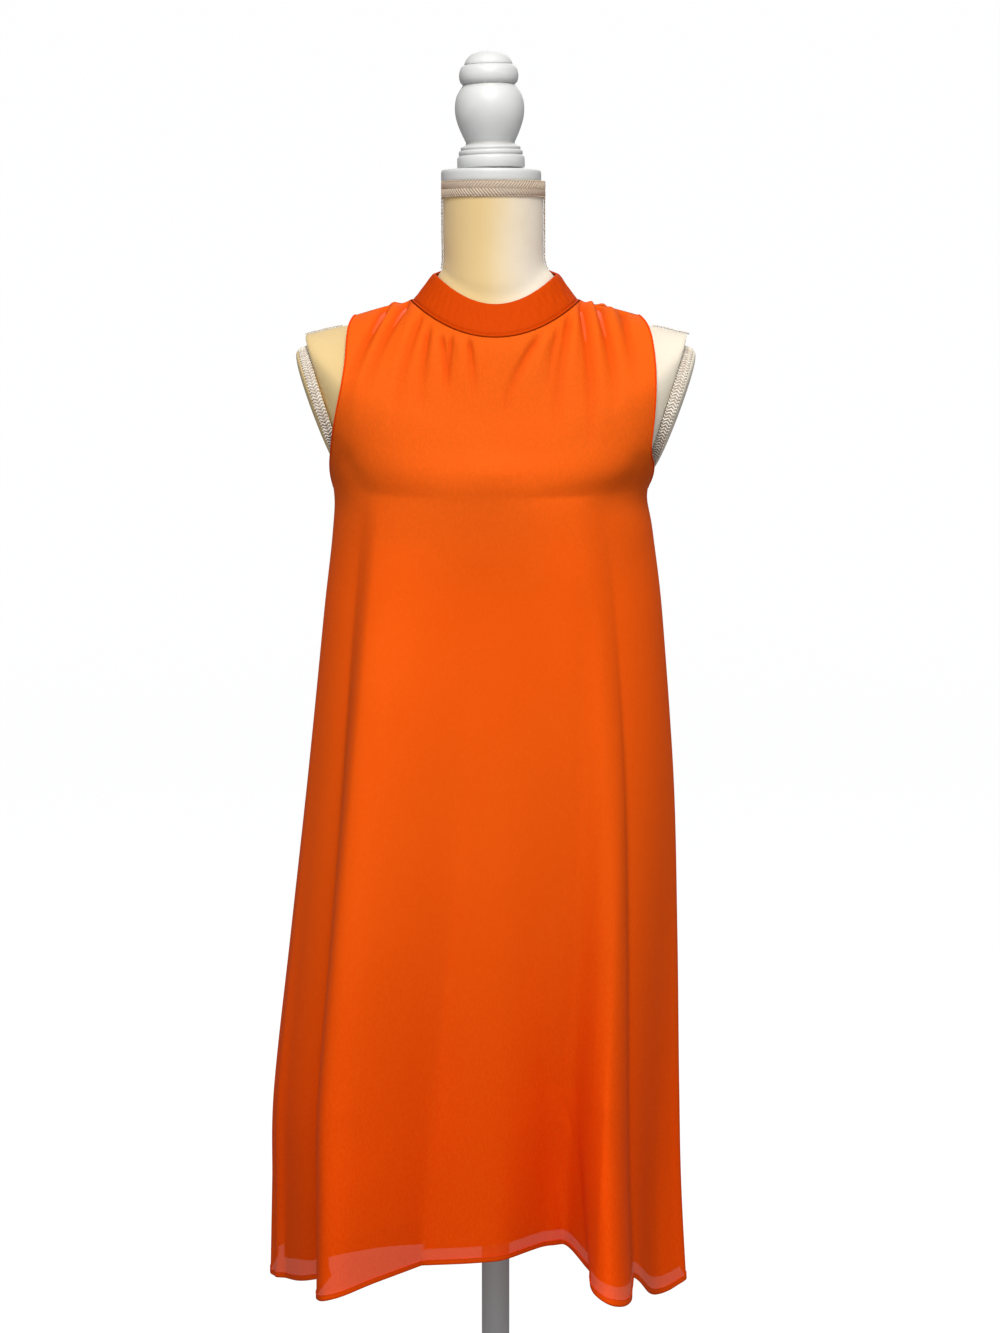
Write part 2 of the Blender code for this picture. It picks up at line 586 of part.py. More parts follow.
def raise_crown(mesh, place):
    """Slides a plate's crown up its face, furthest at its fullest point."""
    back = place.inverted()
    for vertex in mesh.vertices:
        point = back @ vertex.co
        point.x += PLATE_CROWN_RISE * (max(0, point.z - PLATE_RIM) / PLATE_BULGE) ** 2
        vertex.co = place @ point


def make_plate_braid(label, side, finish):
    """The gimp braid round an arm plate's rim."""
    place = plate_place(side, label)
    angles = np.linspace(0, 2 * math.pi, PLATE_SIDES, endpoint=False) * -side
    grids = []
    for out in (SEAM_GAP + BRAID_THICKNESS, SEAM_GAP):
        tall = (PLATE_HALF_HEIGHT + out) * np.cos(angles)
        deep = (PLATE_HALF_DEPTH + out) * np.sin(angles) * side
        rows = [[place @ Vector((x, y, height)) for x, y in zip(tall, deep)] for height in PLATE_BRAID_EDGES]
        grids.append(np.array(rows))
    made = wall("armhole_braid_" + label, grids[0], grids[1], finish, closed=True)
    if signed_volume(made.data) < 0:
        made.data.flip_normals()


def signed_volume(mesh):
    made = bmesh.new()
    made.from_mesh(mesh)
    volume = made.calc_volume(signed=True)
    made.free()
    return volume


def make_form_trim(finish):
    """Braid round the neck top, down the neck's sides and along the outer shoulders."""
    turns = np.radians(np.arange(-180, 180, TORSO_TURN))
    low = SEAM_GAP - TORSO_INSET
    outer, inner = (band_grid(NECK_BRAID, turns, ease) for ease in (low + BRAID_THICKNESS, low))
    wall("neck_braid", outer, inner, finish, closed=True)
    for name, run in (("neck_side_braid", NECK_SIDE_BRAID), ("shoulder_braid", SHOULDER_BRAID)):
        for side, label in ((-1, "left"), (1, "right")):
            strip = []
            for place in np.linspace(*run, STRIP_ROWS):
                radius = abs(Section(*between(FORM, place)).front_y)
                half = BRAID_WIDTH / 2 / radius
                middle = side * math.pi / 2
                strip.append([(place, middle + share * half) for share in (-1, 0, 1)])
            strip = np.array(strip)
            base = ring(FORM, strip[..., 0], strip[..., 1])
            out = ring_normal(FORM, strip[..., 0], strip[..., 1])
            low = 2 * SEAM_GAP - TORSO_INSET
            wall("%s_%s" % (name, label), base + out * (low + STRIP_THICKNESS), base + out * low, finish)


def make_cap_and_finial(paint):
    neck_top = FORM[0]
    centre_y = (neck_top[Section._fields.index("front_y")] + neck_top[Section._fields.index("back_y")]) / 2
    height = neck_top[Section._fields.index("side_z")] + SEAM_GAP
    radius = CAP_RADIUS / MM
    thick = CAP_HEIGHT / MM
    profile = ((0, thick), (radius - 2, thick), (radius - 0.6, thick - 0.7), (radius, thick - 2.2),
               (radius, 2.2), (radius - 0.6, 0.7), (radius - 2, 0), (0, 0))
    turned("neck_cap", profile, 32, paint, Matrix.Translation((CAP_SHIFT, centre_y, height)))
    lean = Matrix.Rotation(-FINIAL_LEAN, 4, "Y")
    lift = SEAM_GAP + FINIAL_PROFILE[-2][0] * MM * math.sin(FINIAL_LEAN)
    seat = Matrix.Translation((CAP_SHIFT, centre_y, height + CAP_HEIGHT + lift))
    turned("finial", FINIAL_PROFILE, 24, paint, seat @ lean)


def make_stand(torso_bottom, paint):
    """A socket under the body, a straight pole and a round turned base on the floor."""
    base_top = BASE_PROFILE[0][1] * MM
    socket_top = torso_bottom - SEAM_GAP
    socket_bottom = socket_top + SOCKET_PROFILE[-1][1] * MM
    turned("stand_socket", SOCKET_PROFILE, 24, paint, Matrix.Translation((0, 0, socket_top)))
    pole_top = (socket_bottom - SEAM_GAP) / MM
    pole_bottom = (base_top + SEAM_GAP) / MM
    radius = POLE_RADIUS / MM
    profile = ((0, pole_top), (radius, pole_top), (radius, pole_bottom), (0, pole_bottom))
    turned("stand_pole", profile, 20, paint, Matrix.Identity(4))
    turned("stand_base", BASE_PROFILE, 36, paint, Matrix.Identity(4))


def main():
    for old in list(bpy.data.objects):
        bpy.data.objects.remove(old, do_unlink=True)
    chiffon = material("orange_chiffon", linear(238, 88, 20), 0.75)
    lining_cloth = material("orange_lining", linear(228, 84, 26), 0.6)
    cream = material("cream_jersey", linear(232, 214, 176), 0.85)
    braid = material("pale_gimp_braid", linear(214, 208, 200), 0.8)
    paint = material("white_paint", linear(236, 236, 232), 0.4)
    make_dress(chiffon, lining_cloth)
    torso_bottom = make_torso(cream)
    for side, label in ((-1, "left"), (1, "right")):
        make_arm_plate(label, side, cream)
        make_plate_braid(label, side, braid)
    make_form_trim(braid)
    make_cap_and_finial(paint)
    make_stand(torso_bottom, paint)


main()
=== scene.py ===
"""The looks of an orange trapeze dress on a limbless dress form.

The dress is hung from the same sections and fold tables as its solids, at a much
finer pitch, with gathers, creases and a soft turned hem added. The form, its gimp
braid and its white turned stand are modelled to match.
Metres, +Z up, and the front faces -Y.
"""

import json
import math
from collections import namedtuple

import bmesh
import bpy
import numpy as np
from mathutils import Matrix, Vector

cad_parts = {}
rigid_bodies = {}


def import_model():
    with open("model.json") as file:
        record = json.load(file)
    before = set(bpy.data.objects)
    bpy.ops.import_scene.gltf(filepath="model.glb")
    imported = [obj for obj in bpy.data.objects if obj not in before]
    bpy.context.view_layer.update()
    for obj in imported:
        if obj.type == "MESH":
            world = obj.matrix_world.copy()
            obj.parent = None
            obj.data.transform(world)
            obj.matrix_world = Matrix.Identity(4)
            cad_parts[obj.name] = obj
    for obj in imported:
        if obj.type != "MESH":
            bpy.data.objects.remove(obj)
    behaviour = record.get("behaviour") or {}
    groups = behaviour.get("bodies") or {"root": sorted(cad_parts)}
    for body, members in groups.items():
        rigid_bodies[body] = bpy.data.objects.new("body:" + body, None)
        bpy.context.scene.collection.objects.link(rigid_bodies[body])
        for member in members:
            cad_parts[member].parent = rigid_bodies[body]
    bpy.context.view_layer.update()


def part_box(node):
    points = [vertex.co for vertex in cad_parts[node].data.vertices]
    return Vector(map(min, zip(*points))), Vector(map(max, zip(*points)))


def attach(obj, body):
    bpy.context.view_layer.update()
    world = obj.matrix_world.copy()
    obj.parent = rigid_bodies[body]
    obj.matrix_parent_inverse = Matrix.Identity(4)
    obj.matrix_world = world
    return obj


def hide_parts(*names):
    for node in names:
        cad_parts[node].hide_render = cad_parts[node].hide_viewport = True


MM = 0.001
NECK_POINT_HEIGHT = 1.390  # where neck and shoulder meet, above the floor
SEAM_GAP = 0.3 * MM

# The camera stands in front at the neck point's height and looks a little down.
CAMERA_PLACE = (0.0045, -2.6, 1.39)
CAMERA_DOWN = math.radians(7.82)
CAMERA_LENS = 48.02
SENSOR_HEIGHT = 24.0

# How far each layer's outer face lies off the sections: where it rests, where it hangs.
LINING_EASE = (1.6 * MM, -6.0 * MM)
CHIFFON_EASE = (5.7 * MM, 7.4 * MM)
FREE_FROM = 0.15  # share of the skirt over which the cloth comes free of the body
SHOULDER_LIFT = 1 * MM
SHOULDER_NARROWNESS = 6
BAND_EASE = (0.8 * MM, 2.0 * MM)
BAND_WALL = 2.6 * MM
BAND_STEP = 0.8 * MM
BAND_PUCKER = 0.5 * MM
BAND_ROUNDING = 0.6 * MM
BAND_RIDGE = 0.7 * MM
BAND_FOOT = 0.3 * MM
# The band's outer face, as share of its height from the top and relief in millimetres:
# a rounded top, a plain run, then a groove and a lip over the seam.
BAND_RELIEF = (
    (0, 0), (0.03, 0.3), (0.08, 0.5), (0.16, 0.6), (0.26, 0.6), (0.38, 0.6), (0.5, 0.6), (0.62, 0.6),
    (0.74, 0.6), (0.84, 0.5), (0.89, 0.2), (0.915, -0.7), (0.93, -0.8), (0.95, 0.8), (0.975, 1.0), (1, 0),
)
HEM_DEPTH = 8.0 * MM
HEM_WALL = 1.1 * MM
LINING_SHORTER = 22 * MM
SHEER_EDGE = 1 * MM  # the chiffon turns sheer over this height at the lining's hem
SHEER_ROWS = 5
LOBE_SIDE = -0.07  # left of it, and below the level, the front fold hangs clear of the lining
LOBE_LEVEL = 0.519
SOFT_ROWS = 140  # rows from the top that are softened down the cloth as well
SEAM_RADIUS = 90 * MM  # turns a seam's gap into an angle
NECK_SLOPE = 28 * MM  # the length of cloth that one place down the neck stands for

FRONT_COLUMNS = 380
BACK_COLUMNS = 150
LINING_COLUMNS = (120, 60)
YOKE_ROWS = 90
SKIRT_ROWS = 150
LINING_YOKE_ROWS = 40
LINING_SKIRT_ROWS = 60
HEM_ROWS = 4
BAND_COLUMNS = 260
CURVE_POINTS = 1400
TURN_WEIGHT = 0.03  # metres of curve that one radian of turning counts for
TOP_FADE = 3  # how soon the shape of a panel's top edge dies away down its rows
SOFTNESS = 4.2 * MM  # folds are rounded off over about this width
DOWN_SOFTNESS = 16 * MM  # and the change from yoke to skirt over this height

Section = namedtuple("Section", "left right side_y side_z front_y front_z back_y back_z square")

SIDE_Z, FRONT_Z = (Section._fields.index(column) for column in ("side_z", "front_z"))
FRONT_Y, BACK_Y = (Section._fields.index(column) for column in ("front_y", "back_y"))

# One row for each ring round the form, in millimetres, heights from the neck point.
NECK_AND_SHOULDERS = (
    Section(52, 48, -4, 110.5, -55, 110.5, 47, 110.5, 2.00),  # neck top
    Section(52, 48, -2, 62, -55, 56, 51, 64, 2.00),
    Section(52, 49, 0, 36, -58, 18, 56, 48, 2.00),
    Section(57, 58, 0, 24, -61, -5, 60, 38, 2.00),  # top of the neckband
    Section(79, 79, 0, -4, -82, -37, 69, 8, 2.05),  # neckband seam
    Section(107, 108, 0, -12, -89, -62, 80, -20, 2.10),
    Section(140, 144, 0, -21.5, -95, -88, 89, -52, 2.15),  # tip of the dress's shoulder
    Section(168, 172, 0, -27.5, -100, -108, 94, -82, 2.20),
    Section(189, 193, 0, -39, -106, -126, 98, -108, 2.30),
    Section(178, 183, -2, -88, -113, -148, 98, -134, 2.35),  # middle of the arm plate
    Section(163, 167, -2, -130, -119, -166, 94, -154, 2.35),
)
FORM_BELOW_ARMS = (
    Section(143, 143, -2, -168, -120, -184, 86, -172, 2.35),  # underarm
    Section(133, 133, -2, -218, -104, -228, 79, -222, 2.30),
    Section(118, 118, 0, -370, -83, -370, 69, -370, 2.20),  # waist
    Section(140, 140, 0, -455, -90, -455, 88, -455, 2.20),
    Section(160, 160, 0, -560, -94, -560, 98, -560, 2.25),  # hip
    Section(152, 152, 0, -640, -88, -640, 92, -640, 2.25),
)
DRESS_BELOW_ARMS = (
    Section(151, 142, -2, -178, -122, -184, 90, -184, 2.35),  # underarm
    Section(152, 147, -2, -222, -120, -229, 93, -226, 2.35),
    Section(161, 157, -2, -302, -115, -304, 101, -302, 2.40),
    Section(179, 170, -4, -464, -118, -452, 113, -458, 2.45),
    Section(198, 174, -6, -626, -122, -600, 122, -615, 2.45),
    Section(216, 175, -8, -786, -123, -748, 131, -772, 2.45),
    Section(218, 176, -10, -880, -124, -831, 136, -861, 2.45),
    Section(220, 180, -12, -972, -125, -917, 141, -954, 2.45),  # hem
)
# Places count down the rows above, so that 3.5 is half-way from the fourth to the fifth.
BAND_TOP_PLACE = 3
SEAM_PLACE = 4
SHOULDER_TIP_PLACE = 5.85
UNDERARM_PLACE = len(NECK_AND_SHOULDERS)

ArmholeRow = namedtuple("ArmholeRow", "place left right")
ARMHOLE_ROWS = (
    ArmholeRow(5.85, 134.4, 137.9),
    ArmholeRow(6.1, 138.4, 143.3),
    ArmholeRow(6.5, 140.0, 147.2),
    ArmholeRow(7.0, 140.0, 149.0),
    ArmholeRow(7.5, 141.7, 150.5),
    ArmholeRow(8.0, 142.4, 149.2),
    ArmholeRow(8.5, 144.6, 147.5),
    ArmholeRow(9.0, 147.3, 145.7),
    ArmholeRow(9.5, 149.1, 143.6),
    ArmholeRow(10.0, 150.5, 141.5),
)
ARMHOLE_LOW_PLACE = 10.0
SCOOP_ROUNDNESS = 1.2
ARMHOLE_EDGE_RADIUS = 0.9 * MM

# Folds: where each lies at the underarm and at the hem (degrees round from the front,
# + to the right), where on the skirt it starts, how soon it grows, how far it stands out
# at the hem, the way it points, how it lifts the hem, then its width in degrees and the
# roundness of its flank at the hem, before its crest and after it.
Fold = namedtuple("Fold", "top hem start growth depth aim lift before steep_before after steep_after")
BODY_FOLDS = (
    Fold(28, 16.5, 0.10, 1.2, -44, 6, 3, 17, 1.6, 11, 1.2),
    Fold(-14, -8, 0.30, 1.2, 6, 0, 0, 22, 2.0, 18, 2.0),
    Fold(160, 172, 0.10, 1.0, -24, 176, 0, 18, 2.0, 18, 2.0),
    Fold(70, 67, 0.05, 0.9, -21, 50, -4, 25, 1.5, 20, 1.6),
    Fold(-74, -74, 0.05, 0.9, -13, -50, 2, 16, 1.6, 26, 1.6),
)
CHIFFON_FOLDS = (
    Fold(-41, -35.2, 0.00, 0.85, 92, -10, 7, 6.2, 0.2, 21, 1.05),
    Fold(27, 34.8, 0.00, 0.6, 37, -2, 0, 17, 1.5, 7.4, 0.14),
    Fold(27, 34.8, 0.60, 1.8, 61, -4, 4, 8.8, 0.12, 7.8, 0.14),
    Fold(124, 128, 0.05, 0.9, 58, 160, 5, 10, 0.8, 9, 0.8),
    Fold(150, 154, 0.15, 1.0, 44, 172, 4, 9, 0.9, 10, 0.9),
    Fold(196, 193, 0.10, 0.9, 62, 182, 6, 10, 0.8, 11, 0.8),
    Fold(228, 226, 0.02, 0.85, 74, 200, 6, 11, 0.7, 9, 0.7),
)
SOFT_FOLDS = (
    Fold(27.5, 19.5, 0.12, 0.6, -9, 0, 0, 4.5, 2.0, 5.5, 2.0),
    Fold(-30, -24, 0.15, 1.0, -3, 0, 0, 7, 2.0, 8, 2.0),
    Fold(6, 3, 0.40, 1.2, -4, 0, 0, 8, 2.0, 8, 2.0),
    Fold(-80, -78, 0.20, 1.0, 5, -70, 0, 6, 2.0, 6, 2.0),
    Fold(86, 87, 0.30, 1.0, 5, 80, 0, 6, 2.0, 6, 2.0),
    Fold(106, 108, 0.20, 1.0, 8, 120, 0, 7, 1.6, 7, 1.6),
    Fold(208, 210, 0.25, 1.0, 8, 195, 0, 6, 2.0, 6, 2.0),
    Fold(250, 251, 0.15, 1.0, 8, 250, 0, 8, 1.6, 7, 1.6),
    Fold(70, 68, 0.50, 2.0, 0, 0, -13, 26, 1.2, 24, 1.2),
)
TOP_WIDTH = 1.9
START_ROUNDNESS = 2.0

# Gathers and puckers, seen from the front or from behind: from the seam end to the loose
# end, in millimetres from the middle and from the neck point, how far the line bows
# sideways, how wide it is, and how deep at the seam. Minus is a trough, plus a ridge.
Crease = namedtuple("Crease", "x z end_x end_z bow width depth")
FRONT_CREASES = (
    Crease(-108, -12, -137, -103, 6, 4.5, -5.7),
    Crease(-98, -8, -130, -100, 7, 5.4, 3.3),
    Crease(-88, -6, -121, -92, 7, 4.0, -5.2),
    Crease(-78, -14, -100, -110, 5, 5.4, 2.4),
    Crease(-74, -22, -92, -108, 4, 3.6, -3.6),
    Crease(-64, -33, -68, -92, 2, 2.9, -3.6),
    Crease(-57, -36, -60, -84, 1, 3.6, 2.1),
    Crease(-50, -38, -47, -74, -1, 2.3, -3.6),
    Crease(-42, -40, -45, -86, 1, 2.5, -3.3),
    Crease(-33, -41, -34, -80, 0, 3.6, 2.0),
    Crease(-24, -42, -21, -84, -1, 2.5, -3.6),
    Crease(37, -40, 13, -100, 5, 3.2, -3.6),
    Crease(48, -38, 38, -88, 3, 4.0, 2.0),
    Crease(58, -33, 52, -80, 2, 2.7, -2.7),
    Crease(70, -22, 60, -104, 3, 4.0, -4.1),
    Crease(76, -14, 74, -96, 2, 4.5, 2.8),
    Crease(83, -8, 87, -116, -4, 4.0, -5.2),
    Crease(91, -5, 100, -112, -3, 4.5, 4.5),
    Crease(99, -6, 111, -84, -3, 3.2, -5.7),
    Crease(110, -8, 122, -88, -2, 4.5, 3.3),
    Crease(122, -10, 130, -70, -1, 3.6, -3.9),
    Crease(-140, -150, -96, -196, 6, 8.1, -1.4),
    Crease(136, -150, 98, -190, -6, 8.1, -1.4),
    Crease(-10, -160, -230, -164, 0, 16, 2.8),
    Crease(10, -160, 230, -164, 0, 16, 2.8),
)
BACK_CREASES = (
    Crease(-112, -10, -128, -96, 4, 4.5, -4.8),
    Crease(-98, -4, -110, -104, 4, 5.0, 3.3),
    Crease(-84, -2, -92, -88, 3, 4.0, -4.8),
    Crease(-70, 2, -76, -92, 2, 3.6, -3.9),
    Crease(-58, 5, -60, -78, 1, 4.0, 2.4),
    Crease(-44, 7, -46, -84, 0, 3.1, -3.9),
    Crease(-28, 8, -26, -70, 0, 3.1, -3.3),
    Crease(-13, 8, -12, -90, 0, 3.6, 2.4),
    Crease(15, 8, 16, -74, 0, 3.1, -3.6),
    Crease(31, 8, 30, -94, 0, 3.6, 2.4),
    Crease(46, 7, 50, -80, -1, 3.1, -3.9),
    Crease(60, 5, 66, -96, -2, 3.8, -3.6),
    Crease(74, 1, 82, -84, -3, 4.0, 3.2),
    Crease(88, -3, 98, -100, -4, 4.0, -4.8),
    Crease(104, -6, 116, -88, -4, 4.5, 3.2),
    Crease(118, -11, 132, -92, -4, 4.5, -4.3),
)

# Painted shade: the chiffon is painted darker in its gather troughs, the more the deeper the trough, standing
# in for the shade that falls there.
TROUGH_DEPTH = 5 * MM  # troughs this deep take the full shade
TROUGH_PAINTED_SHADE = 0.7
CREASE_REACH = 1.25  # how far past its loose end a crease dies away
SEAM_ROWS = 2.5  # gathers grow from a flat seam over this many rows

# The form's padded body and its arm plates.
TORSO_INSET = 1.8 * MM
TORSO_ROWS = 150
TORSO_COLUMNS = 144
TORSO_FOOT = 10 * MM
PLATE_TOP_X = {"left": 181 * MM, "right": 182 * MM}
PLATE_TOP_Z = -40 * MM
PLATE_LEAN = 0.33
PLATE_SEAT_FOOT = -172 * MM
PLATE_CENTRE_Z = -102 * MM
PLATE_CENTRE_Y = -6 * MM
PLATE_HALF_HEIGHT = 61 * MM
PLATE_HALF_DEPTH = 55 * MM
PLATE_RIM = 9.5 * MM
PLATE_BULGE = 7 * MM
PLATE_CROWN_RISE = 26 * MM  # the crown is fullest this far above the plate's middle
PLATE_BRAID_EDGES = (9.5 * MM, 0.3 * MM)
BRAID_WIDTH = 9 * MM
NECK_BRAID = (0.01, 0.32)
NECK_SIDE_BRAID = (0.34, 2.3)
SHOULDER_BRAID = (6.32, 7.55)

CAP_SHIFT = -4 * MM
CAP_HEIGHT = 13 * MM
FINIAL_LEAN = math.radians(1.5)
# The turned pieces, as (radius, height) down the outside, in millimetres.
FINIAL_PROFILE = (
    (0, 111), (5, 110.8), (9, 110), (13, 108.8), (16.5, 107), (19, 105), (21, 102.6), (22.4, 99.8),
    (23, 98), (22.7, 97.2), (24.4, 96.8), (26.4, 94.8), (27.8, 91.6), (28.4, 87.4), (28.1, 84), (27.2, 81),
    (25.6, 79.4), (24.9, 78.8), (25.4, 77.6), (27.4, 75), (29.6, 71.6), (31.4, 68), (32.7, 63), (33.2, 57),
    (33, 52), (32.2, 47), (30.8, 42), (28.9, 36.8), (26.8, 31.8), (24.8, 27.6), (23.5, 25), (23.3, 23.4),
    (24, 22.4), (26.4, 21), (28.4, 20.2), (28.8, 19), (28.3, 17.8), (28.6, 17.2), (30, 16.8), (30.6, 15.6),
    (30.6, 13.2), (30.1, 12.6), (30.6, 12), (31.8, 10.8), (32.3, 9.4), (32.4, 1.2), (31.6, 0.4), (0, 0.2),
)
CAP_PROFILE = (
    (0, 12.9), (45, 12.9), (46.6, 12.5), (47.5, 11.6), (47.9, 10.2), (48, 8), (48, 5), (47.9, 2.8),
    (47.5, 1.4), (46.6, 0.6), (45, 0.2), (0, 0.2),
)
SOCKET_PROFILE = (
    (0, -0.2), (56, -0.2), (57.6, -0.8), (58, -2.4), (58, -8.6), (57, -10.4), (46.5, -16), (40, -17.4),
    (31, -19.6), (28.4, -22), (26.4, -27), (24, -33.6), (21, -36.6), (17.6, -38.8), (16.4, -39.8), (0, -39.8),
)
BASE_PROFILE = (
    (0, 91.8), (16.6, 91.8), (18.4, 91), (20.6, 88.4), (21.8, 85.4), (21.7, 80), (20.9, 74), (22.8, 65),
    (26.4, 56), (31.6, 49), (38.6, 44), (50, 39.6), (64, 36), (90, 32.8), (120, 30), (146, 28), (166, 25.8),
    (178, 22.4), (185, 18.6), (189, 13), (189.8, 9), (188.8, 5), (187, 2), (184, 0.3), (0, 0.3),
)
POLE_RADIUS = 14 * MM
POLE_SPAN = (92.3 * MM, 699.6 * MM)

BUTTON_RADIUS = 5.2 * MM
BUTTON_HEIGHT = 3.2 * MM
BUTTON_PLACES = (3.22, 3.72)
BUTTON_TURN = math.radians(189)
LOOP_RADIUS = 0.5 * MM
LOOP_CLEARANCE = 0.6 * MM
LOOP_REACH = BUTTON_HEIGHT * 2.6  # how far past the button the loop's ends lie
LOOP_SHARE = 0.9  # of the button's radius, where the loop's bend lies


# ---------------------------------------------------------------- objects and meshes


def put(name, data):
    """A new object that holds this data, in the scene."""
    made = bpy.data.objects.new(name, data)
    bpy.context.scene.collection.objects.link(made)
    return made


def plain_mesh(guide):
    """The finished mesh of a guide object, which is then removed."""
    bpy.context.view_layer.update()
    mesh = bpy.data.meshes.new_from_object(guide.evaluated_get(bpy.context.evaluated_depsgraph_get()))
    bpy.data.objects.remove(guide)
    return mesh


def close_up(mesh, merged=0.0):
    """Fills the holes of a mesh and turns its faces outward, its touching points merged first."""
    made = bmesh.new()
    made.from_mesh(mesh)
    if merged:
        bmesh.ops.remove_doubles(made, verts=made.verts, dist=merged)
    bmesh.ops.holes_fill(made, edges=[edge for edge in made.edges if edge.is_boundary])
    bmesh.ops.recalc_face_normals(made, faces=made.faces)
    made.to_mesh(mesh)
    made.free()


def mark_points(mesh, name, values):
    """Keeps a value for each point of a mesh: a number, or three for a vector."""
    kind, field = ("FLOAT_VECTOR", "vector") if values.shape[-1] == 3 else ("FLOAT", "value")
    mesh.attributes.new(name, kind, "POINT").data.foreach_set(field, values.astype(np.float32).ravel())


# ---------------------------------------------------------------- materials


def linear(red, green, blue):
    """A screen colour, 0 to 255, as the linear values that a material holds."""
    shares = (red / 255, green / 255, blue / 255)
    return tuple(v / 12.92 if v < 0.04 else ((v + 0.055) / 1.055) ** 2.4 for v in shares)


class Measure:
    """A number that changes over a surface. Sums and products of these add Math nodes."""

    def __init__(self, finish, socket):
        self.finish = finish
        self.socket = socket

    def math(self, operation, first, second=0.0):
        return self.finish.add("ShaderNodeMath", {"operation": operation}, {0: first, 1: second})

    def __add__(self, other):
        return self.math("ADD", self, other)

    def __sub__(self, other):
        return self.math("SUBTRACT", self, other)

    def __rsub__(self, other):
        return self.math("SUBTRACT", other, self)

    def __mul__(self, other):
        return self.math("MULTIPLY", self, other)

    __radd__ = __add__
    __rmul__ = __mul__

    def __pow__(self, other):
        return self.math("POWER", self, other)

    def wave(self, pitch):
        """A sine of this length, from -1 to 1."""
        return self.math("SINE", self * (2 * math.pi / pitch))

    def span(self, low, high):
        """0 below low, 1 above high, smooth between."""
        return self.finish.add(
            "ShaderNodeMapRange",
            {"interpolation_type": "SMOOTHSTEP"},
            {"Value": self, "From Min": low, "From Max": high},
        )


class Finish:
    """A material: its shader and the nodes that feed it."""

    def __init__(self, name, colour, roughness, **uniform):
        self.material = bpy.data.materials.new(name)
        self.material.use_nodes = True
        self.tree = self.material.node_tree
        self.shader = self.tree.nodes["Principled BSDF"]
        self.shader.inputs["Base Color"].default_value = (*colour, 1)
        self.shader.inputs["Roughness"].default_value = roughness
        for name, value in uniform.items():
            self.shader.inputs[name.replace("_", " ")].default_value = value
        self.material.diffuse_color = (*colour, 1)

    def add(self, kind, settings=(), sockets=(), out=0):
        """Adds a node: its settings first, then the values or links of its sockets."""
        made = self.tree.nodes.new(kind)
        for name, value in dict(settings).items():
            setattr(made, name, value)
        for name, value in dict(sockets).items():
            self.feed(made.inputs[name], value)
        return Measure(self, made.outputs[out])

    def feed(self, socket, value):
        if isinstance(value, Measure):
            self.tree.links.new(value.socket, socket)
        else:
            socket.default_value = value

    def feed_shader(self, **sockets):
        for name, value in sockets.items():
            self.feed(self.shader.inputs[name.replace("_", " ")], value)

    def place(self):
        return self.add("ShaderNodeTexCoord", out="Object")

    def parts(self, vector):
        """The three numbers of a vector."""
        return [self.add("ShaderNodeSeparateXYZ", (), {0: vector}, out) for out in range(3)]

    def stretched(self, vector, scale):
        return self.add("ShaderNodeMapping", (), {"Vector": vector, "Scale": scale})

    def noise(self, vector, scale, detail=2.0, roughness=0.5):
        sockets = {"Vector": vector, "Scale": scale, "Detail": detail, "Roughness": roughness}
        return self.add("ShaderNodeTexNoise", (), sockets, "Fac")

    def mixed(self, factor, first, second):
        first, second = ((*shade, 1) if isinstance(shade, tuple) else shade for shade in (first, second))
        sockets = {"Factor": factor, 6: first, 7: second}
        return self.add("ShaderNodeMix", {"data_type": "RGBA"}, sockets, 2)

    def bump(self, height, depth, strength=1.0):
        """Relief, with its depth in metres for a height of 1."""
        return self.add("ShaderNodeBump", (), {"Height": height, "Distance": depth, "Strength": strength})


CHIFFON = linear(237, 88, 13)
CHIFFON_PALE = linear(243, 100, 21)
CHIFFON_DEEP = linear(228, 76, 2)
# The deep orange painted into the gather troughs as painted shade, and the darkest shade of the armhole's
# turned edge.
CREASE_AND_EDGE_PAINTED_SHADE = linear(196, 56, 1)
# Painted light by height: the chiffon is painted redder and darker low on the skirt, standing in for the light
# falling off towards the hem, and less red and yellower on the chest, standing in for the strong top light and
# its highlight there.
CHIFFON_PAINTED_HEM_SHADE = linear(240, 70, 1)
CHIFFON_CHEST_PAINTED_LIGHT = linear(206, 87, 20)
CHIFFON_ALPHA = 0.968  # where no lining lies behind it
PAINTED_HEM_SHADE_HEIGHTS = (0.5, 0.95)  # metres above the floor
CHEST_PAINTED_LIGHT_HEIGHTS = (1.1, 1.25)
# The band's colours are deeper than the chiffon's partly because it is doubled cloth and partly painted shade,
# keeping it as dark as it looks under the strong top light; the covered buttons share them.
BAND = linear(186, 60, 2)
BAND_PALE = linear(196, 68, 4)
BAND_DEEP = linear(170, 50, 1)
DOUBLED = linear(226, 72, 3)
DOUBLED_PALE = linear(234, 82, 8)
DOUBLED_DEEP = linear(214, 62, 2)
LINING = linear(226, 76, 8)
JERSEY_GOLD = linear(208, 181, 128)
JERSEY_PALE = linear(220, 210, 192)
GIMP_PALE = linear(226, 220, 208)
GIMP_GREY = linear(196, 182, 168)
GIMP_CORE = linear(112, 98, 86)
# Painted shade: the braid's threads are painted darker and greyer above this height, up the neck, standing in
# for the shade under the neck's cap.
GIMP_PAINTED_SHADE = linear(190, 170, 149)
GIMP_PAINTED_SHADE_FROM = 1.44
PAINT = linear(193, 194, 193)
# The darker paint, both for its own random patches and as painted shade in the turned grooves.
PAINT_MOTTLE_AND_PAINTED_GROOVE_SHADE = linear(150, 148, 144)

THREAD_PITCH = 0.5 * MM
KNIT_PITCH = 0.9 * MM
JERSEY_MOTTLE = linear(196, 176, 134)
THREAD = linear(206, 62, 14)
THREAD_PALE = linear(238, 92, 30)


def cloth_uv(finish):
    """Where a point lies on the flat cloth, in metres: across, then down."""
    flat = finish.add("ShaderNodeUVMap", {"uv_map": "cloth"})
    return finish.parts(flat)[:2]


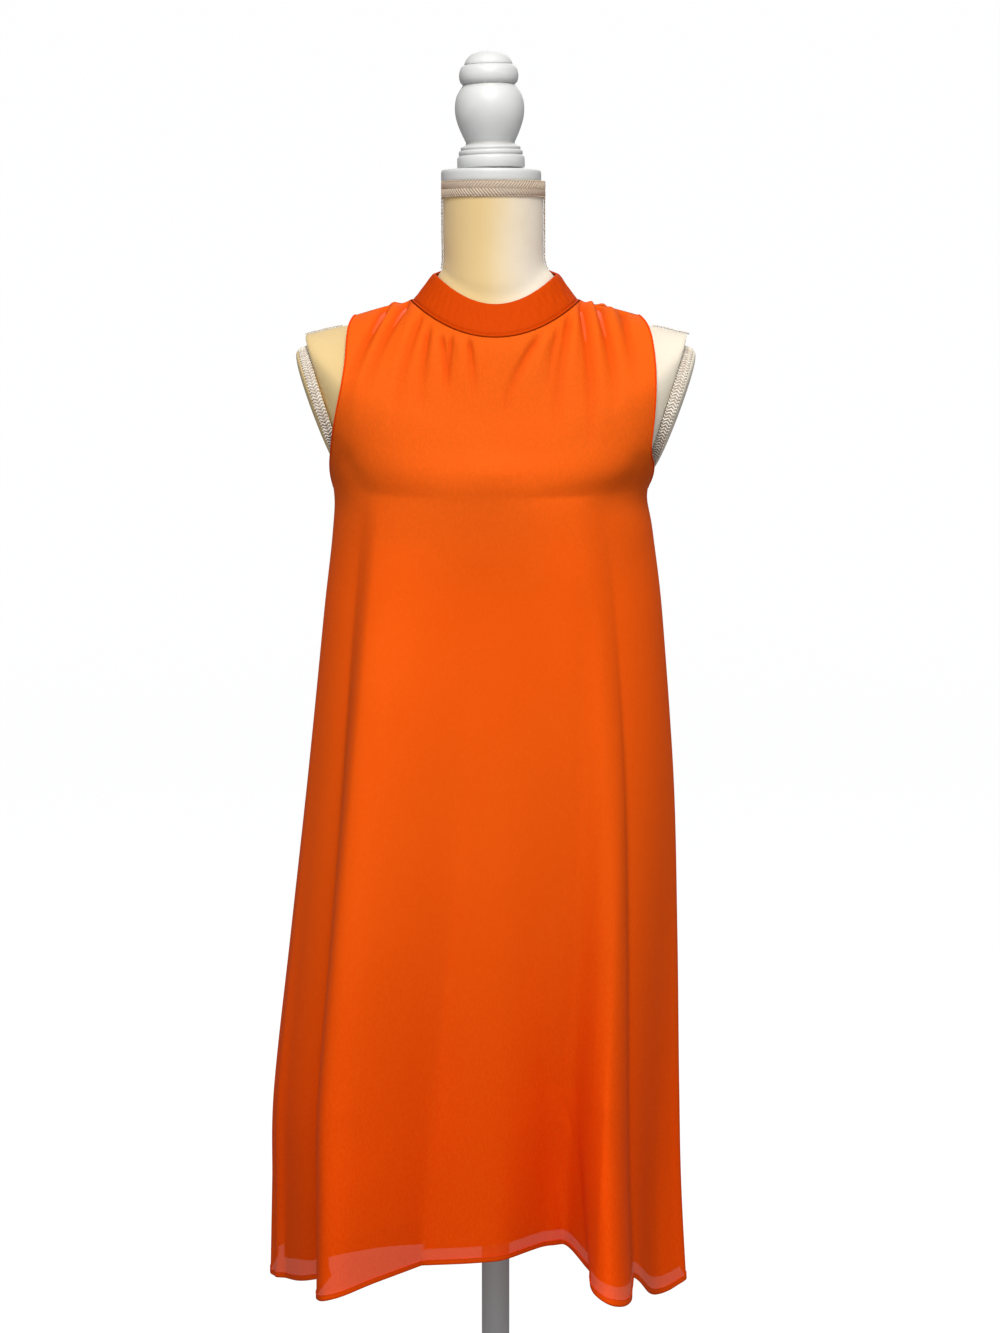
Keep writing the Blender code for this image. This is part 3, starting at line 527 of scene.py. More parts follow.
def make_chiffon(name, alpha, shades, low=None, high=None):
    """Crinkled chiffon in three shades, its own, a pale and a deep one, with painted shade low down, a painted
    highlight tint high up and painted shade in the gather troughs.
    """
    own, pale, deep = shades
    finish = Finish(name, own, 0.62, Sheen_Weight=0.01, Sheen_Roughness=0.4, Specular_IOR_Level=0.02)
    finish.shader.inputs["Sheen Tint"].default_value = (1.0, 0.5, 0.25, 1)
    place = finish.place()
    across, down = cloth_uv(finish)
    weave = across.wave(THREAD_PITCH) * down.wave(THREAD_PITCH)
    crepe = finish.noise(finish.stretched(place, (1, 1, 0.45)), 620, 3, 0.6)
    slub = finish.noise(finish.stretched(place, (1, 1, 0.1)), 90, 2, 0.5)
    cloud = finish.noise(place, 9, 2, 0.5)
    height = finish.parts(place)[2]
    # painted light: a darker, redder colour low down and a less red, yellower one on the chest, set by height
    # alone
    height_painted_light = finish.mixed(height.span(*PAINTED_HEM_SHADE_HEIGHTS), low or own, own)
    height_painted_light = finish.mixed(height.span(*CHEST_PAINTED_LIGHT_HEIGHTS), height_painted_light, high or own)
    colour = finish.mixed(cloud * 0.5 + 0.5, deep, height_painted_light)
    colour = finish.mixed(crepe.span(0.35, 0.75) * 0.3, colour, pale)
    # painted shade in the gather troughs
    trough = finish.add("ShaderNodeAttribute", {"attribute_name": "trough"}, out="Fac")
    colour = finish.mixed(trough, colour, CREASE_AND_EDGE_PAINTED_SHADE)
    finish.feed_shader(
        Base_Color=colour,
        Roughness=0.56 + 0.14 * slub,
        Normal=finish.bump(weave * 0.25 + crepe + slub * 0.6, 0.12 * MM, 0.6),
    )
    if alpha < 1:
        sheer = finish.add("ShaderNodeAttribute", {"attribute_name": "sheer"}, out="Fac")
        finish.feed_shader(Alpha=sheer * (alpha - 1) + 1.0)
    return finish.material


def make_lining_cloth():
    finish = Finish("lining_cloth", LINING, 0.5, Sheen_Weight=0.1, Specular_IOR_Level=0.35)
    place = finish.place()
    across, down = cloth_uv(finish)
    weave = across.wave(THREAD_PITCH) + down.wave(THREAD_PITCH)
    cloud = finish.noise(place, 14, 2, 0.5)
    finish.feed_shader(
        Base_Color=finish.mixed(cloud, LINING, CHIFFON_DEEP),
        Roughness=0.42 + 0.16 * cloud,
        Normal=finish.bump(weave, 0.02 * MM, 0.5),
    )
    return finish.material


def make_jersey():
    """Stretched cotton knit: fine ribs, and yellower down the form's left side."""
    finish = Finish("cream_jersey_cloth", JERSEY_GOLD, 0.85, Sheen_Weight=0.2, Specular_IOR_Level=0.2)
    place = finish.place()
    x, y, z = finish.parts(place)
    mottled = finish.noise(place, 38, 4, 0.6)
    # yellower and darker towards the form's left, paler towards its right
    paler_to_the_right = (x + 0.02 * finish.noise(place, 16, 2, 0.5)).span(-8 * MM, 48 * MM)
    ribs = (x + y).wave(KNIT_PITCH) * z.wave(KNIT_PITCH * 1.3)
    colour = finish.mixed(paler_to_the_right, JERSEY_GOLD, JERSEY_PALE)
    colour = finish.mixed(mottled.span(0.45, 0.8) * 0.16, colour, JERSEY_MOTTLE)
    finish.feed_shader(
        Base_Color=colour,
        Roughness=0.8 + 0.12 * mottled,
        Normal=finish.bump(ribs + mottled, 0.09 * MM, 0.7),
    )
    return finish.material


def make_gimp_core():
    """The dark woven core that shows between the threads of the braid."""
    finish = Finish("gimp_braid_core", GIMP_CORE, 0.85, Specular_IOR_Level=0.15)
    fine = finish.noise(finish.place(), 1100, 3, 0.6)
    finish.feed_shader(
        Base_Color=finish.mixed(fine, GIMP_CORE, GIMP_GREY),
        Normal=finish.bump(fine, 0.15 * MM, 0.8),
    )
    return finish.material


def make_gimp():
    """The braid's threads: pale, greyer here and there, and darker and greyer up the neck as painted shade."""
    finish = Finish("gimp_braid_thread", GIMP_PALE, 0.8, Sheen_Weight=0.04, Specular_IOR_Level=0.15)
    place = finish.place()
    fine = finish.noise(place, 900, 3, 0.6)
    patch = finish.noise(place, 140, 2, 0.5)
    worn = finish.noise(place, 22, 2, 0.5)
    grey = (patch * 0.7 + worn * 0.5 - 0.1).span(0.3, 0.75)
    height = finish.parts(place)[2]
    # painted shade on the braid up the neck, under the cap
    under_cap_shade = height.span(GIMP_PAINTED_SHADE_FROM, GIMP_PAINTED_SHADE_FROM + 30 * MM)
    colour = finish.mixed(grey, GIMP_PALE, GIMP_GREY)
    finish.feed_shader(
        Base_Color=finish.mixed(under_cap_shade, colour, GIMP_PAINTED_SHADE),
        Roughness=0.65 + 0.2 * fine,
        Normal=finish.bump(fine, 0.12 * MM, 0.8),
    )
    return finish.material


def make_paint():
    """White brushed paint on turned wood, darker in random patches, with painted shade in the grooves."""
    finish = Finish("white_paint_on_wood", PAINT, 0.38, Coat_Weight=0.12, Coat_Roughness=0.3)
    place = finish.place()
    brush = finish.noise(finish.stretched(place, (18, 18, 260)), 1, 3, 0.6)
    cloud = finish.noise(place, 26, 3, 0.55)
    groove = finish.add("ShaderNodeAttribute", {"attribute_name": "groove"}, out="Fac")
    # painted shade in the grooves, and the paint's own darker patches
    colour = finish.mixed((groove * 0.75 + cloud.span(0.5, 0.85) * 0.18), PAINT, PAINT_MOTTLE_AND_PAINTED_GROOVE_SHADE)
    finish.feed_shader(
        Base_Color=colour,
        Roughness=0.34 + 0.2 * cloud + 0.1 * brush,
        Normal=finish.bump(brush + cloud * 0.6, 0.16 * MM, 0.6),
    )
    return finish.material


def make_thread():
    finish = Finish("orange_sewing_thread", THREAD, 0.6, Sheen_Weight=0.1)
    fine = finish.noise(finish.place(), 1500, 2, 0.5)
    finish.feed_shader(
        Base_Color=finish.mixed(fine, THREAD, THREAD_PALE),
        Normal=finish.bump(fine, 0.06 * MM, 0.6),
    )
    return finish.material


BACKDROP_GREY = (0.2, 0.2, 0.2)
BACKDROP_GLOW = 0.93


def make_backdrop():
    """A plain pale studio floor that curves up into its own backdrop."""
    finish = Finish("pale_backdrop", BACKDROP_GREY, 0.95, Specular_IOR_Level=0.0)
    finish.shader.inputs["Emission Color"].default_value = (1, 1, 1, 1)
    finish.shader.inputs["Emission Strength"].default_value = BACKDROP_GLOW
    return finish.material


# ---------------------------------------------------------------- the sections


def table(rows):
    """The rows of a section table in metres, heights above the floor."""
    values = np.array(rows, float)
    values[:, :-1] *= MM
    for column in ("side_z", "front_z", "back_z"):
        values[:, Section._fields.index(column)] += NECK_POINT_HEIGHT
    return values


FORM = table(NECK_AND_SHOULDERS + FORM_BELOW_ARMS)
DRESS = table(NECK_AND_SHOULDERS + DRESS_BELOW_ARMS)
HEM_PLACE = len(DRESS) - 1


def between(rows, place):
    """The rows at places between a table's rows, on smooth curves through them."""
    place = np.clip(np.asarray(place, float), 0, len(rows) - 1)
    first = np.minimum(place.astype(int), len(rows) - 2)
    part = (place - first)[..., None]
    before = rows[np.maximum(first - 1, 0)]
    here = rows[first]
    after = rows[first + 1]
    beyond = rows[np.minimum(first + 2, len(rows) - 1)]
    bend = 2 * before - 5 * here + 4 * after - beyond
    twist = 3 * here - before - 3 * after + beyond
    return 0.5 * (2 * here + (after - before) * part + bend * part**2 + twist * part**3)


def ring(rows, place, turn):
    """Points on the surface that a section table gives, by place down it and turn round it."""
    place, turn = np.broadcast_arrays(np.asarray(place, float), np.asarray(turn, float))
    row = Section(*np.moveaxis(between(rows, place), -1, 0))
    across = np.sin(turn)
    ahead = np.cos(turn)
    bend = 2 / row.square
    reach = np.where(across > 0, row.right, row.left)
    depth = np.where(ahead > 0, row.front_y, row.back_y)
    drop = np.where(ahead > 0, row.front_z, row.back_z)
    x = reach * np.sign(across) * np.abs(across) ** bend
    y = row.side_y + (depth - row.side_y) * np.abs(ahead) ** bend
    z = row.side_z + (drop - row.side_z) * ahead**2
    return np.stack((x, y, z), axis=-1)


def ring_normal(rows, place, turn):
    """The outward normals of that surface."""
    step = 0.004
    down = ring(rows, np.asarray(place) + step, turn) - ring(rows, np.asarray(place) - step, turn)
    along = ring(rows, place, np.asarray(turn) + step) - ring(rows, place, np.asarray(turn) - step)
    normal = np.cross(down, along)
    return normal / np.linalg.norm(normal, axis=-1, keepdims=True)


def skirt_share(place):
    """How far down the skirt a place is: 0 at the underarm, 1 at the hem."""
    heights = DRESS[:, SIDE_Z]
    height = np.interp(place, range(len(heights)), heights)
    share = (heights[UNDERARM_PLACE] - height) / (heights[UNDERARM_PLACE] - heights[-1])
    return np.clip(share, 0, 1)


def folded(folds, place, turn):
    """How far a fold table moves the points of the dress."""
    share = skirt_share(place)
    moved = np.zeros(np.broadcast(share, turn).shape + (3,))
    for fold in folds:
        grown = np.clip((share - fold.start) / (1 - fold.start), 0, 1) ** fold.growth
        centre = np.radians(fold.top + (fold.hem - fold.top) * share)
        width = 1 + (TOP_WIDTH - 1) * (1 - share)
        off = (turn - centre + np.pi) % (2 * np.pi) - np.pi
        off = off / np.radians(np.where(off < 0, fold.before, fold.after) * width)
        steep = np.where(off < 0, fold.steep_before, fold.steep_after)
        power = START_ROUNDNESS * (steep / START_ROUNDNESS) ** grown
        crest = np.cos(np.clip(off, -1, 1) * np.pi / 2).clip(0, 1) ** power * grown
        aim = math.radians(fold.aim)
        push = np.array((math.sin(aim) * fold.depth, -math.cos(aim) * fold.depth, fold.lift)) * MM
        moved += crest[..., None] * push
    return moved


def cloth_points(place, turn, ease, folds):
    """Points of one layer of cloth, by place down the dress and turn round it."""
    resting, hanging = ease
    out = resting + (hanging - resting) * np.clip(skirt_share(place) / FREE_FROM, 0, 1)
    points = ring(DRESS, place, turn) + ring_normal(DRESS, place, turn) * out[..., None]
    tip = np.exp(-((place - SHOULDER_TIP_PLACE) ** 2)) * np.abs(np.sin(turn)) ** SHOULDER_NARROWNESS
    points[..., 2] += SHOULDER_LIFT * tip
    return points + folded(folds, place, turn)


def lengths(curve):
    steps = np.linalg.norm(np.diff(curve, axis=0), axis=1)
    return np.concatenate(((0,), np.cumsum(steps)))


def runs_along(path, closed):
    """The way a path runs at each of its points."""
    run = np.gradient(path, axis=0)
    if closed:
        run[0] = path[1] - path[-1]
        run[-1] = path[0] - path[-2]
    return run


def divided(curve, shares, trim=0.0, values=None):
    """Values at shares of a curve's length, or its points, leaving a trim at both ends."""
    run = lengths(curve)
    wanted = trim + np.asarray(shares) * (run[-1] - 2 * trim)
    values = curve if values is None else values
    return np.stack([np.interp(wanted, run, values[:, axis]) for axis in range(values.shape[1])], axis=-1)


def column_shares(curve, count):
    """Shares of a curve's length that lie closer together where it bends."""
    run = lengths(curve)
    steps = np.diff(curve, axis=0)
    headings = np.unwrap(np.arctan2(steps[:, 1], steps[:, 0]))
    turning = np.concatenate(((0,), np.cumsum(np.abs(np.diff(headings))), (0,)))
    turning[-1] = turning[-2]
    measure = run + TURN_WEIGHT * turning
    return np.interp(np.linspace(0, 1, count + 1) * measure[-1], measure, run / run[-1])


def armhole_turn(place, column):
    """How far round from the front, or from the back, the armhole's edge lies on a section."""
    rows = [(row.place, getattr(row, column) * MM) for row in ARMHOLE_ROWS]
    low = min(place, ARMHOLE_LOW_PLACE)
    reach = np.interp(low, [row[0] for row in rows], [row[1] for row in rows])
    section = Section(*between(DRESS, low))
    edge = math.asin(min(1, (reach / getattr(section, column)) ** (section.square / 2)))
    below = max(0, (place - ARMHOLE_LOW_PLACE) / (UNDERARM_PLACE - ARMHOLE_LOW_PLACE))
    return edge + (math.radians(90) - edge) * below**SCOOP_ROUNDNESS


def armhole_path(column, turn_of):
    """The armhole's edge from the shoulder's tip to the underarm, as rows of place and turn.

    Known fault: it starts about 83 degrees round, and a panel's top edge ends at 90, so the
    shoulder seams stand open.
    """
    places = np.linspace(SHOULDER_TIP_PLACE, UNDERARM_PLACE, 200)
    return np.array([(place, turn_of(armhole_turn(place, column))) for place in places])


def top_path(corners):
    """A panel's top edge, through corners of place and turn."""
    corners = np.array(corners)
    runs = [np.linspace(start, end, 160, endpoint=False) for start, end in zip(corners, corners[1:])]
    return np.concatenate((*runs, corners[-1:]))


def patch(top, bottom, left, right, columns, rows):
    """Places and turns all over a patch between four edges, divided evenly along each."""
    top, bottom = (divided(ring(DRESS, *edge.T), columns, values=edge) for edge in (top, bottom))
    left, right = (divided(ring(DRESS, *edge.T), rows, values=edge) for edge in (left, right))
    u = np.asarray(columns)[:, None]
    v = np.asarray(rows)[:, None, None]
    top_bend = top - (1 - u) * top[0] - u * top[-1]
    bottom_bend = bottom - (1 - u) * bottom[0] - u * bottom[-1]
    straight = (1 - u) * left[:, None] + u * right[:, None]
    return straight + (1 - v) ** TOP_FADE * top_bend + v * bottom_bend


Cut = namedtuple("Cut", "name start end top left right")


def panel_cuts():
    """The three pieces that both the chiffon and the lining are cut in."""
    half = math.pi / 2
    gap = SEAM_GAP / 2 / SEAM_RADIUS
    tip, neck = SHOULDER_TIP_PLACE, SEAM_PLACE + SEAM_GAP / NECK_SLOPE
    middle = np.linspace(neck, UNDERARM_PLACE, 200)
    fronts = ((tip, gap - half), (neck, gap - half), (neck, half - gap), (tip, half - gap))
    rights = ((tip, half + gap), (neck, half + gap), (neck, math.pi - gap))
    lefts = ((neck, math.pi + gap), (neck, 3 * half - gap), (tip, 3 * half - gap))
    front_left = armhole_path("left", lambda turn: -min(turn, half - gap))
    front_right = armhole_path("right", lambda turn: min(turn, half - gap))
    back_right = armhole_path("right", lambda turn: max(math.pi - turn, half + gap))
    back_left = armhole_path("left", lambda turn: min(math.pi + turn, 3 * half - gap))
    middle_right = np.stack((middle, np.full(len(middle), math.pi - gap)), axis=-1)
    middle_left = np.stack((middle, np.full(len(middle), math.pi + gap)), axis=-1)
    return (
        Cut("front", -half, half, top_path(fronts), front_left, front_right),
        Cut("back_right", half, math.pi, top_path(rights), back_right, middle_right),
        Cut("back_left", math.pi, 3 * half, top_path(lefts), middle_left, back_left),
    )


def above_hem(height):
    """The place a height above the hem, at the front."""
    drop = (DRESS[-2] - DRESS[-1])[FRONT_Z]
    return HEM_PLACE - height / drop


# ---------------------------------------------------------------- cloth pieces


def curve_normals(grid):
    """Outward normals of a grid of points whose rows run down and whose columns run round."""
    down = np.gradient(grid, axis=0)
    along = np.gradient(grid, axis=1)
    normal = np.cross(down, along)
    return normal / np.linalg.norm(normal, axis=-1, keepdims=True)


def softened(grid, width):
    """The grid with each row's sharp bends rounded off, its ends left where they are."""
    step = np.linalg.norm(np.diff(grid, axis=1), axis=-1).mean()
    reach = max(1, int(round(width / step)))
    weights = np.cos(np.linspace(-1, 1, 2 * reach + 3)[1:-1] * math.pi / 2) ** 2
    weights /= weights.sum()
    start = 2 * grid[:, :1] - grid[:, reach:0:-1]
    end = 2 * grid[:, -1:] - grid[:, -2 : -reach - 2 : -1]
    padded = np.concatenate((start, grid, end), axis=1)
    columns = grid.shape[1]
    return sum(weight * padded[:, i : i + columns] for i, weight in enumerate(weights))


def creased(grid, creases):
    """How far a table of creases moves each point out from its cloth."""
    x = grid[..., 0] / MM
    z = (grid[..., 2] - NECK_POINT_HEIGHT) / MM
    out = np.zeros(x.shape)
    for crease in creases:
        run = np.array((crease.end_x - crease.x, crease.end_z - crease.z), float)
        span = np.hypot(*run)
        along = ((x - crease.x) * run[0] + (z - crease.z) * run[1]) / span**2 / CREASE_REACH
        side = ((x - crease.x) * run[1] - (z - crease.z) * run[0]) / span
        side = side - crease.bow * 4 * along * (1 - along)
        width = crease.width * (1 + 0.9 * np.clip(along, 0, 1))
        fade = np.clip(1 - along, 0, 1) * np.clip(1 + along * 6, 0, 1)
        out += crease.depth * fade * np.exp(-((side / width) ** 2))
    return out * MM


def grid_mesh(name, grid, finish, uv=True, closed=False):
    """A smooth sheet through a grid of points, with its flat lengths as its cloth map."""
    rows, columns = grid.shape[:2]
    index = np.arange(rows * columns).reshape(rows, columns)
    if closed:
        index = np.concatenate((index, index[:, :1]), axis=1)
    quads = np.stack((index[:-1, :-1], index[1:, :-1], index[1:, 1:], index[:-1, 1:]), axis=-1).reshape(-1, 4)
    mesh = bpy.data.meshes.new(name)
    mesh.from_pydata(grid.reshape(-1, 3).tolist(), [], quads.tolist())
    mesh.materials.append(finish)
    mesh.shade_smooth()
    if uv:
        across, down = np.zeros((rows, columns)), np.zeros((rows, columns))
        across[:, 1:] = np.cumsum(np.linalg.norm(np.diff(grid, axis=1), axis=-1), axis=1)
        down[1:] = np.cumsum(np.linalg.norm(np.diff(grid, axis=0), axis=-1), axis=0)
        across -= across[:, columns // 2 : columns // 2 + 1]
        flat = np.stack((across, down), axis=-1).reshape(-1, 2)
        layer = mesh.uv_layers.new(name="cloth")
        corners = np.zeros(len(mesh.loops), int)
        mesh.loops.foreach_get("vertex_index", corners)
        layer.data.foreach_set("uv", flat[corners].astype(np.float32).ravel())
    return put(name, mesh)


def panel_grid(cut, columns, yoke_rows, skirt_places, ease, folds):
    """The points of a panel of cloth, from its top edge down to its last row."""
    turns = np.linspace(cut.start, cut.end, CURVE_POINTS)
    curves = [cloth_points(np.full(CURVE_POINTS, place), turns, ease, folds) for place in skirt_places]
    shares = column_shares(curves[-1], columns)
    bottom = np.stack((np.full(CURVE_POINTS, float(UNDERARM_PLACE)), turns), axis=-1)
    yoke = patch(cut.top, bottom, cut.left, cut.right, shares, np.linspace(0, 1, yoke_rows))
    upper = cloth_points(yoke[:-1, :, 0], yoke[:-1, :, 1], ease, folds)
    lower = np.stack([divided(curve, shares, SEAM_GAP / 2) for curve in curves])
    return np.concatenate((upper, lower))


def make_chiffon_panel(cut, finish, hem_finish):
    """One chiffon panel with its gathers, and the turned strip along its hem."""
    columns = FRONT_COLUMNS if cut.name == "front" else BACK_COLUMNS
    hem_top, lining_hem = above_hem(HEM_DEPTH), above_hem(LINING_SHORTER)
    opaque = np.linspace(UNDERARM_PLACE, lining_hem, SKIRT_ROWS)
    open_below = np.linspace(above_hem(LINING_SHORTER - SHEER_EDGE), hem_top, SHEER_ROWS)
    places = np.concatenate((opaque, open_below, np.linspace(hem_top, HEM_PLACE, HEM_ROWS)[1:]))
    grid = panel_grid(cut, columns, YOKE_ROWS, places, CHIFFON_EASE, BODY_FOLDS + CHIFFON_FOLDS + SOFT_FOLDS)
    grid = softened(grid, SOFTNESS)
    grid[:SOFT_ROWS] = softened(grid[:SOFT_ROWS].swapaxes(0, 1), DOWN_SOFTNESS).swapaxes(0, 1)
    creases = FRONT_CREASES if cut.name == "front" else BACK_CREASES
    relief = creased(grid, creases)
    relief *= np.clip(np.arange(len(grid)) / SEAM_ROWS, 0, 1)[:, None]
    grid += curve_normals(grid) * relief[..., None]
    panel = grid_mesh("chiffon_" + cut.name, grid, finish)
    # how much painted shade each point of the panel takes, from the depth of its trough
    trough = np.clip(-relief / TROUGH_DEPTH, 0, 1) * TROUGH_PAINTED_SHADE
    mark_points(panel.data, "trough", trough.ravel())
    sheer = np.zeros(grid.shape[:2])
    sheer[-HEM_ROWS - SHEER_ROWS + 1 :] = 1
    if cut.name == "front":
        sheer[(grid[..., 0] < LOBE_SIDE) & (grid[..., 2] < LOBE_LEVEL)] = 1
    mark_points(panel.data, "sheer", sheer.ravel())
    strip = grid[-HEM_ROWS:]
    out = curve_normals(strip) * HEM_WALL / 2
    rolled = np.concatenate((strip + out, (strip - out)[::-1]))
    fold_line = (strip[-1:] + rolled[HEM_ROWS : HEM_ROWS + 1]) / 2 - (0, 0, HEM_WALL / 2)
    rolled = np.concatenate((rolled[:HEM_ROWS], fold_line, rolled[HEM_ROWS:], rolled[:1]))
    hem = grid_mesh("hem_" + cut.name, rolled, hem_finish)
    return panel, hem, grid


def make_lining_panel(cut, finish):
    columns = LINING_COLUMNS[0] if cut.name == "front" else LINING_COLUMNS[1]
    places = np.linspace(UNDERARM_PLACE, above_hem(LINING_SHORTER), LINING_SKIRT_ROWS)
    grid = panel_grid(cut, columns, LINING_YOKE_ROWS, places, LINING_EASE, BODY_FOLDS)
    return grid_mesh("lining_" + cut.name, softened(grid, SOFTNESS), finish)


def make_neckband(finish):
    """The standing band: a folded strip with a rounded top and a thin lip over its seam."""
    turns = np.linspace(-math.pi + SEAM_GAP / SEAM_RADIUS, math.pi - SEAM_GAP / SEAM_RADIUS, BAND_COLUMNS)
    low = SEAM_PLACE - BAND_STEP / NECK_SLOPE
    shares, relief = np.transpose(BAND_RELIEF)
    relief = relief * MM
    place, turn = np.meshgrid(BAND_TOP_PLACE + (low - BAND_TOP_PLACE) * shares, turns, indexing="ij")
    ease = np.interp(place, (BAND_TOP_PLACE, low), BAND_EASE)[..., None]
    inner = ring(DRESS, place, turn) + ring_normal(DRESS, place, turn) * ease
    out = curve_normals(inner)
    slant = np.sin(turn * 34 + place * 9) * np.sin(turn * 11 + 1.3) + 0.6 * np.sin(turn * 57 - place * 7)
    pucker = BAND_PUCKER * slant * np.sin(shares * math.pi)[:, None]
    outer = inner + out * (BAND_WALL - BAND_ROUNDING + relief[:, None] + pucker)[..., None]
    ridge = (inner[:1] + outer[:1]) / 2 + (0, 0, BAND_RIDGE)
    foot = (inner[-1:] + outer[-1:]) / 2 - (0, 0, BAND_FOOT)
    grid = np.concatenate((ridge, outer, foot, inner[::-1], ridge))
    band = grid_mesh("neckband_cloth", grid, finish)
    close_up(band.data, merged=0.01 * MM)
    return band


def tube_mesh(name, path, radius, finish, sides=8, closed=False):
    """A round cord along a path."""
    curve = bpy.data.curves.new(name, "CURVE")
    curve.dimensions = "3D"
    curve.bevel_depth = radius
    curve.bevel_resolution = sides // 4
    curve.use_fill_caps = True
    spline = curve.splines.new("POLY")
    spline.points.add(len(path) - 1)
    for point, at in zip(spline.points, path):
        point.co = (*at, 1)
    spline.use_cyclic_u = closed
    mesh = plain_mesh(put(name + "_guide", curve))
    mesh.materials.clear()
    mesh.materials.append(finish)
    mesh.shade_smooth()
    return put(name, mesh)


def joined(name, pieces):
    """Several meshes as one object, each with its own material."""
    together = bmesh.new()
    own = [next(filter(None, piece.data.materials)) for piece in pieces]
    finishes = list(dict.fromkeys(own))
    for piece, finish in zip(pieces, own):
        before = len(together.faces)
        together.from_mesh(piece.data)
        together.faces.ensure_lookup_table()
        for face in together.faces[before:]:
            face.material_index = finishes.index(finish)
    mesh = bpy.data.meshes.new(name)
    together.to_mesh(mesh)
    together.free()
    for finish in finishes:
        mesh.materials.append(finish)
    for piece in pieces:
        bpy.data.objects.remove(piece)
    return put(name, mesh)


# ---------------------------------------------------------------- repeated small things


BEAD_SIZES = ("Length", "Width", "Height", "Slant", "Shift", "Unevenness")
BEAD_INPUTS = (
    *((size, "NodeSocketFloat") for size in BEAD_SIZES),
    ("Seed", "NodeSocketInt"),
    ("Material", "NodeSocketMaterial"),
)
PLAIN_BEAD = {"Unevenness": 0.12, "Seed": 7, "Slant": 0.0, "Shift": 0.0}


def bead_tree():
    """Small beads of thread on points that know which way the braid runs and faces."""
    tree = bpy.data.node_groups.new("thread_beads", "GeometryNodeTree")
    tree.interface.new_socket("Geometry", in_out="INPUT", socket_type="NodeSocketGeometry")
    for name, kind in BEAD_INPUTS:
        tree.interface.new_socket(name, in_out="INPUT", socket_type=kind)
    tree.interface.new_socket("Geometry", in_out="OUTPUT", socket_type="NodeSocketGeometry")
    given = tree.nodes.new("NodeGroupInput").outputs

    def add(kind, settings=(), sockets=()):
        made = tree.nodes.new(kind)
        for name, value in dict(settings).items():
            setattr(made, name, value)
        for name, value in dict(sockets).items():
            if isinstance(value, bpy.types.NodeSocket):
                tree.links.new(value, made.inputs[name])
            else:
                made.inputs[name].default_value = value
        return made

    along = add("GeometryNodeInputNamedAttribute", {"data_type": "FLOAT_VECTOR"}, {"Name": "along"}).outputs[0]
    out = add("GeometryNodeInputNamedAttribute", {"data_type": "FLOAT_VECTOR"}, {"Name": "out"}).outputs[0]
    facing = add("FunctionNodeAxesToRotation", {"primary_axis": "Z", "secondary_axis": "X"}, {0: out, 1: along})
    slant = add("ShaderNodeCombineXYZ", (), {"Z": given["Slant"]})
    ways = {0: facing.outputs[0], 1: slant.outputs[0]}
    turned = add("FunctionNodeRotateRotation", {"rotation_space": "LOCAL"}, ways)
    across = add("ShaderNodeVectorMath", {"operation": "CROSS_PRODUCT"}, {0: out, 1: along})
    shift = add("ShaderNodeVectorMath", {"operation": "SCALE"}, {0: across.outputs[0], "Scale": given["Shift"]})
    moved = add("GeometryNodeSetPosition", (), {"Geometry": given["Geometry"], "Offset": shift.outputs[0]})
    low = add("ShaderNodeMath", {"operation": "SUBTRACT"}, {0: 1.0, 1: given["Unevenness"]})
    high = add("ShaderNodeMath", {"operation": "ADD"}, {0: 1.0, 1: given["Unevenness"]})
    limits = {2: low.outputs[0], 3: high.outputs[0], "Seed": given["Seed"]}
    size = add("FunctionNodeRandomValue", {"data_type": "FLOAT"}, limits)
    bead = add("GeometryNodeMeshUVSphere", (), {"Segments": 6, "Rings": 4, "Radius": 0.5})
    shape = add("ShaderNodeCombineXYZ", (), {"X": given["Length"], "Y": given["Width"], "Z": given["Height"]})
    sized = add("GeometryNodeTransform", (), {"Geometry": bead.outputs[0], "Scale": shape.outputs[0]})
    instances = {"Points": moved.outputs[0], "Instance": sized.outputs[0]}
    instances.update(Rotation=turned.outputs[0], Scale=size.outputs[1])
    placed = add("GeometryNodeInstanceOnPoints", (), instances)
    real = add("GeometryNodeRealizeInstances", (), {"Geometry": placed.outputs[0]})
    smooth = add("GeometryNodeSetShadeSmooth", (), {"Geometry": real.outputs[0]})
    dressed = add("GeometryNodeSetMaterial", (), {"Geometry": smooth.outputs[0], "Material": given["Material"]})
    tree.links.new(dressed.outputs[0], tree.nodes.new("NodeGroupOutput").inputs[0])
    return tree


def beads(tree, path, out, pitch, finish, closed=False, **sizes):
    """A row of beads along a path, as one plain mesh. Sizes are the tree's named inputs."""
    shares = np.linspace(0, 1, max(2, int(round(lengths(path)[-1] / pitch))), endpoint=not closed)
    points = divided(path, shares)
    facing = divided(path, shares, values=out)
    mesh = bpy.data.meshes.new("points")
    mesh.from_pydata(points.tolist(), [], [])
    for name, values in (("along", runs_along(points, closed)), ("out", facing)):
        mark_points(mesh, name, values / np.linalg.norm(values, axis=1, keepdims=True))
    guide = put("points", mesh)
    modifier = guide.modifiers.new("beads", "NODES")
    modifier.node_group = tree
    sizes = {**PLAIN_BEAD, **sizes, "Material": finish}
    for item in tree.interface.items_tree:
        if item.in_out == "INPUT" and item.name in sizes:
            modifier[item.identifier] = sizes[item.name]
    return put("beads", plain_mesh(guide))


# The braid, across its width: its tape as (share of the half width, height in millimetres),
# its slanted cords and its edge loops. Lengths and shifts are shares of the half width.
GIMP_PITCH = 3.2 * MM
TAPE_SECTION = ((-1, 0), (-0.9, 0.5), (-0.4, 0.8), (0, 0.5), (0.4, 0.8), (0.9, 0.5), (1, 0))
TAPE_SHARE = 0.92
CORD_LENGTH, CORD_SHIFT, CORD_SLANT = 1.45, 0.42, 0.85
CORD = {"Width": 1.9 * MM, "Height": 1.7 * MM}
LOOP_SHIFT, LOOP_SLANT = 0.92, 0.4
LOOP = {"Length": 2.2 * MM, "Width": 1.9 * MM, "Height": 1.4 * MM}
THREAD_LIFT = 0.5 * MM


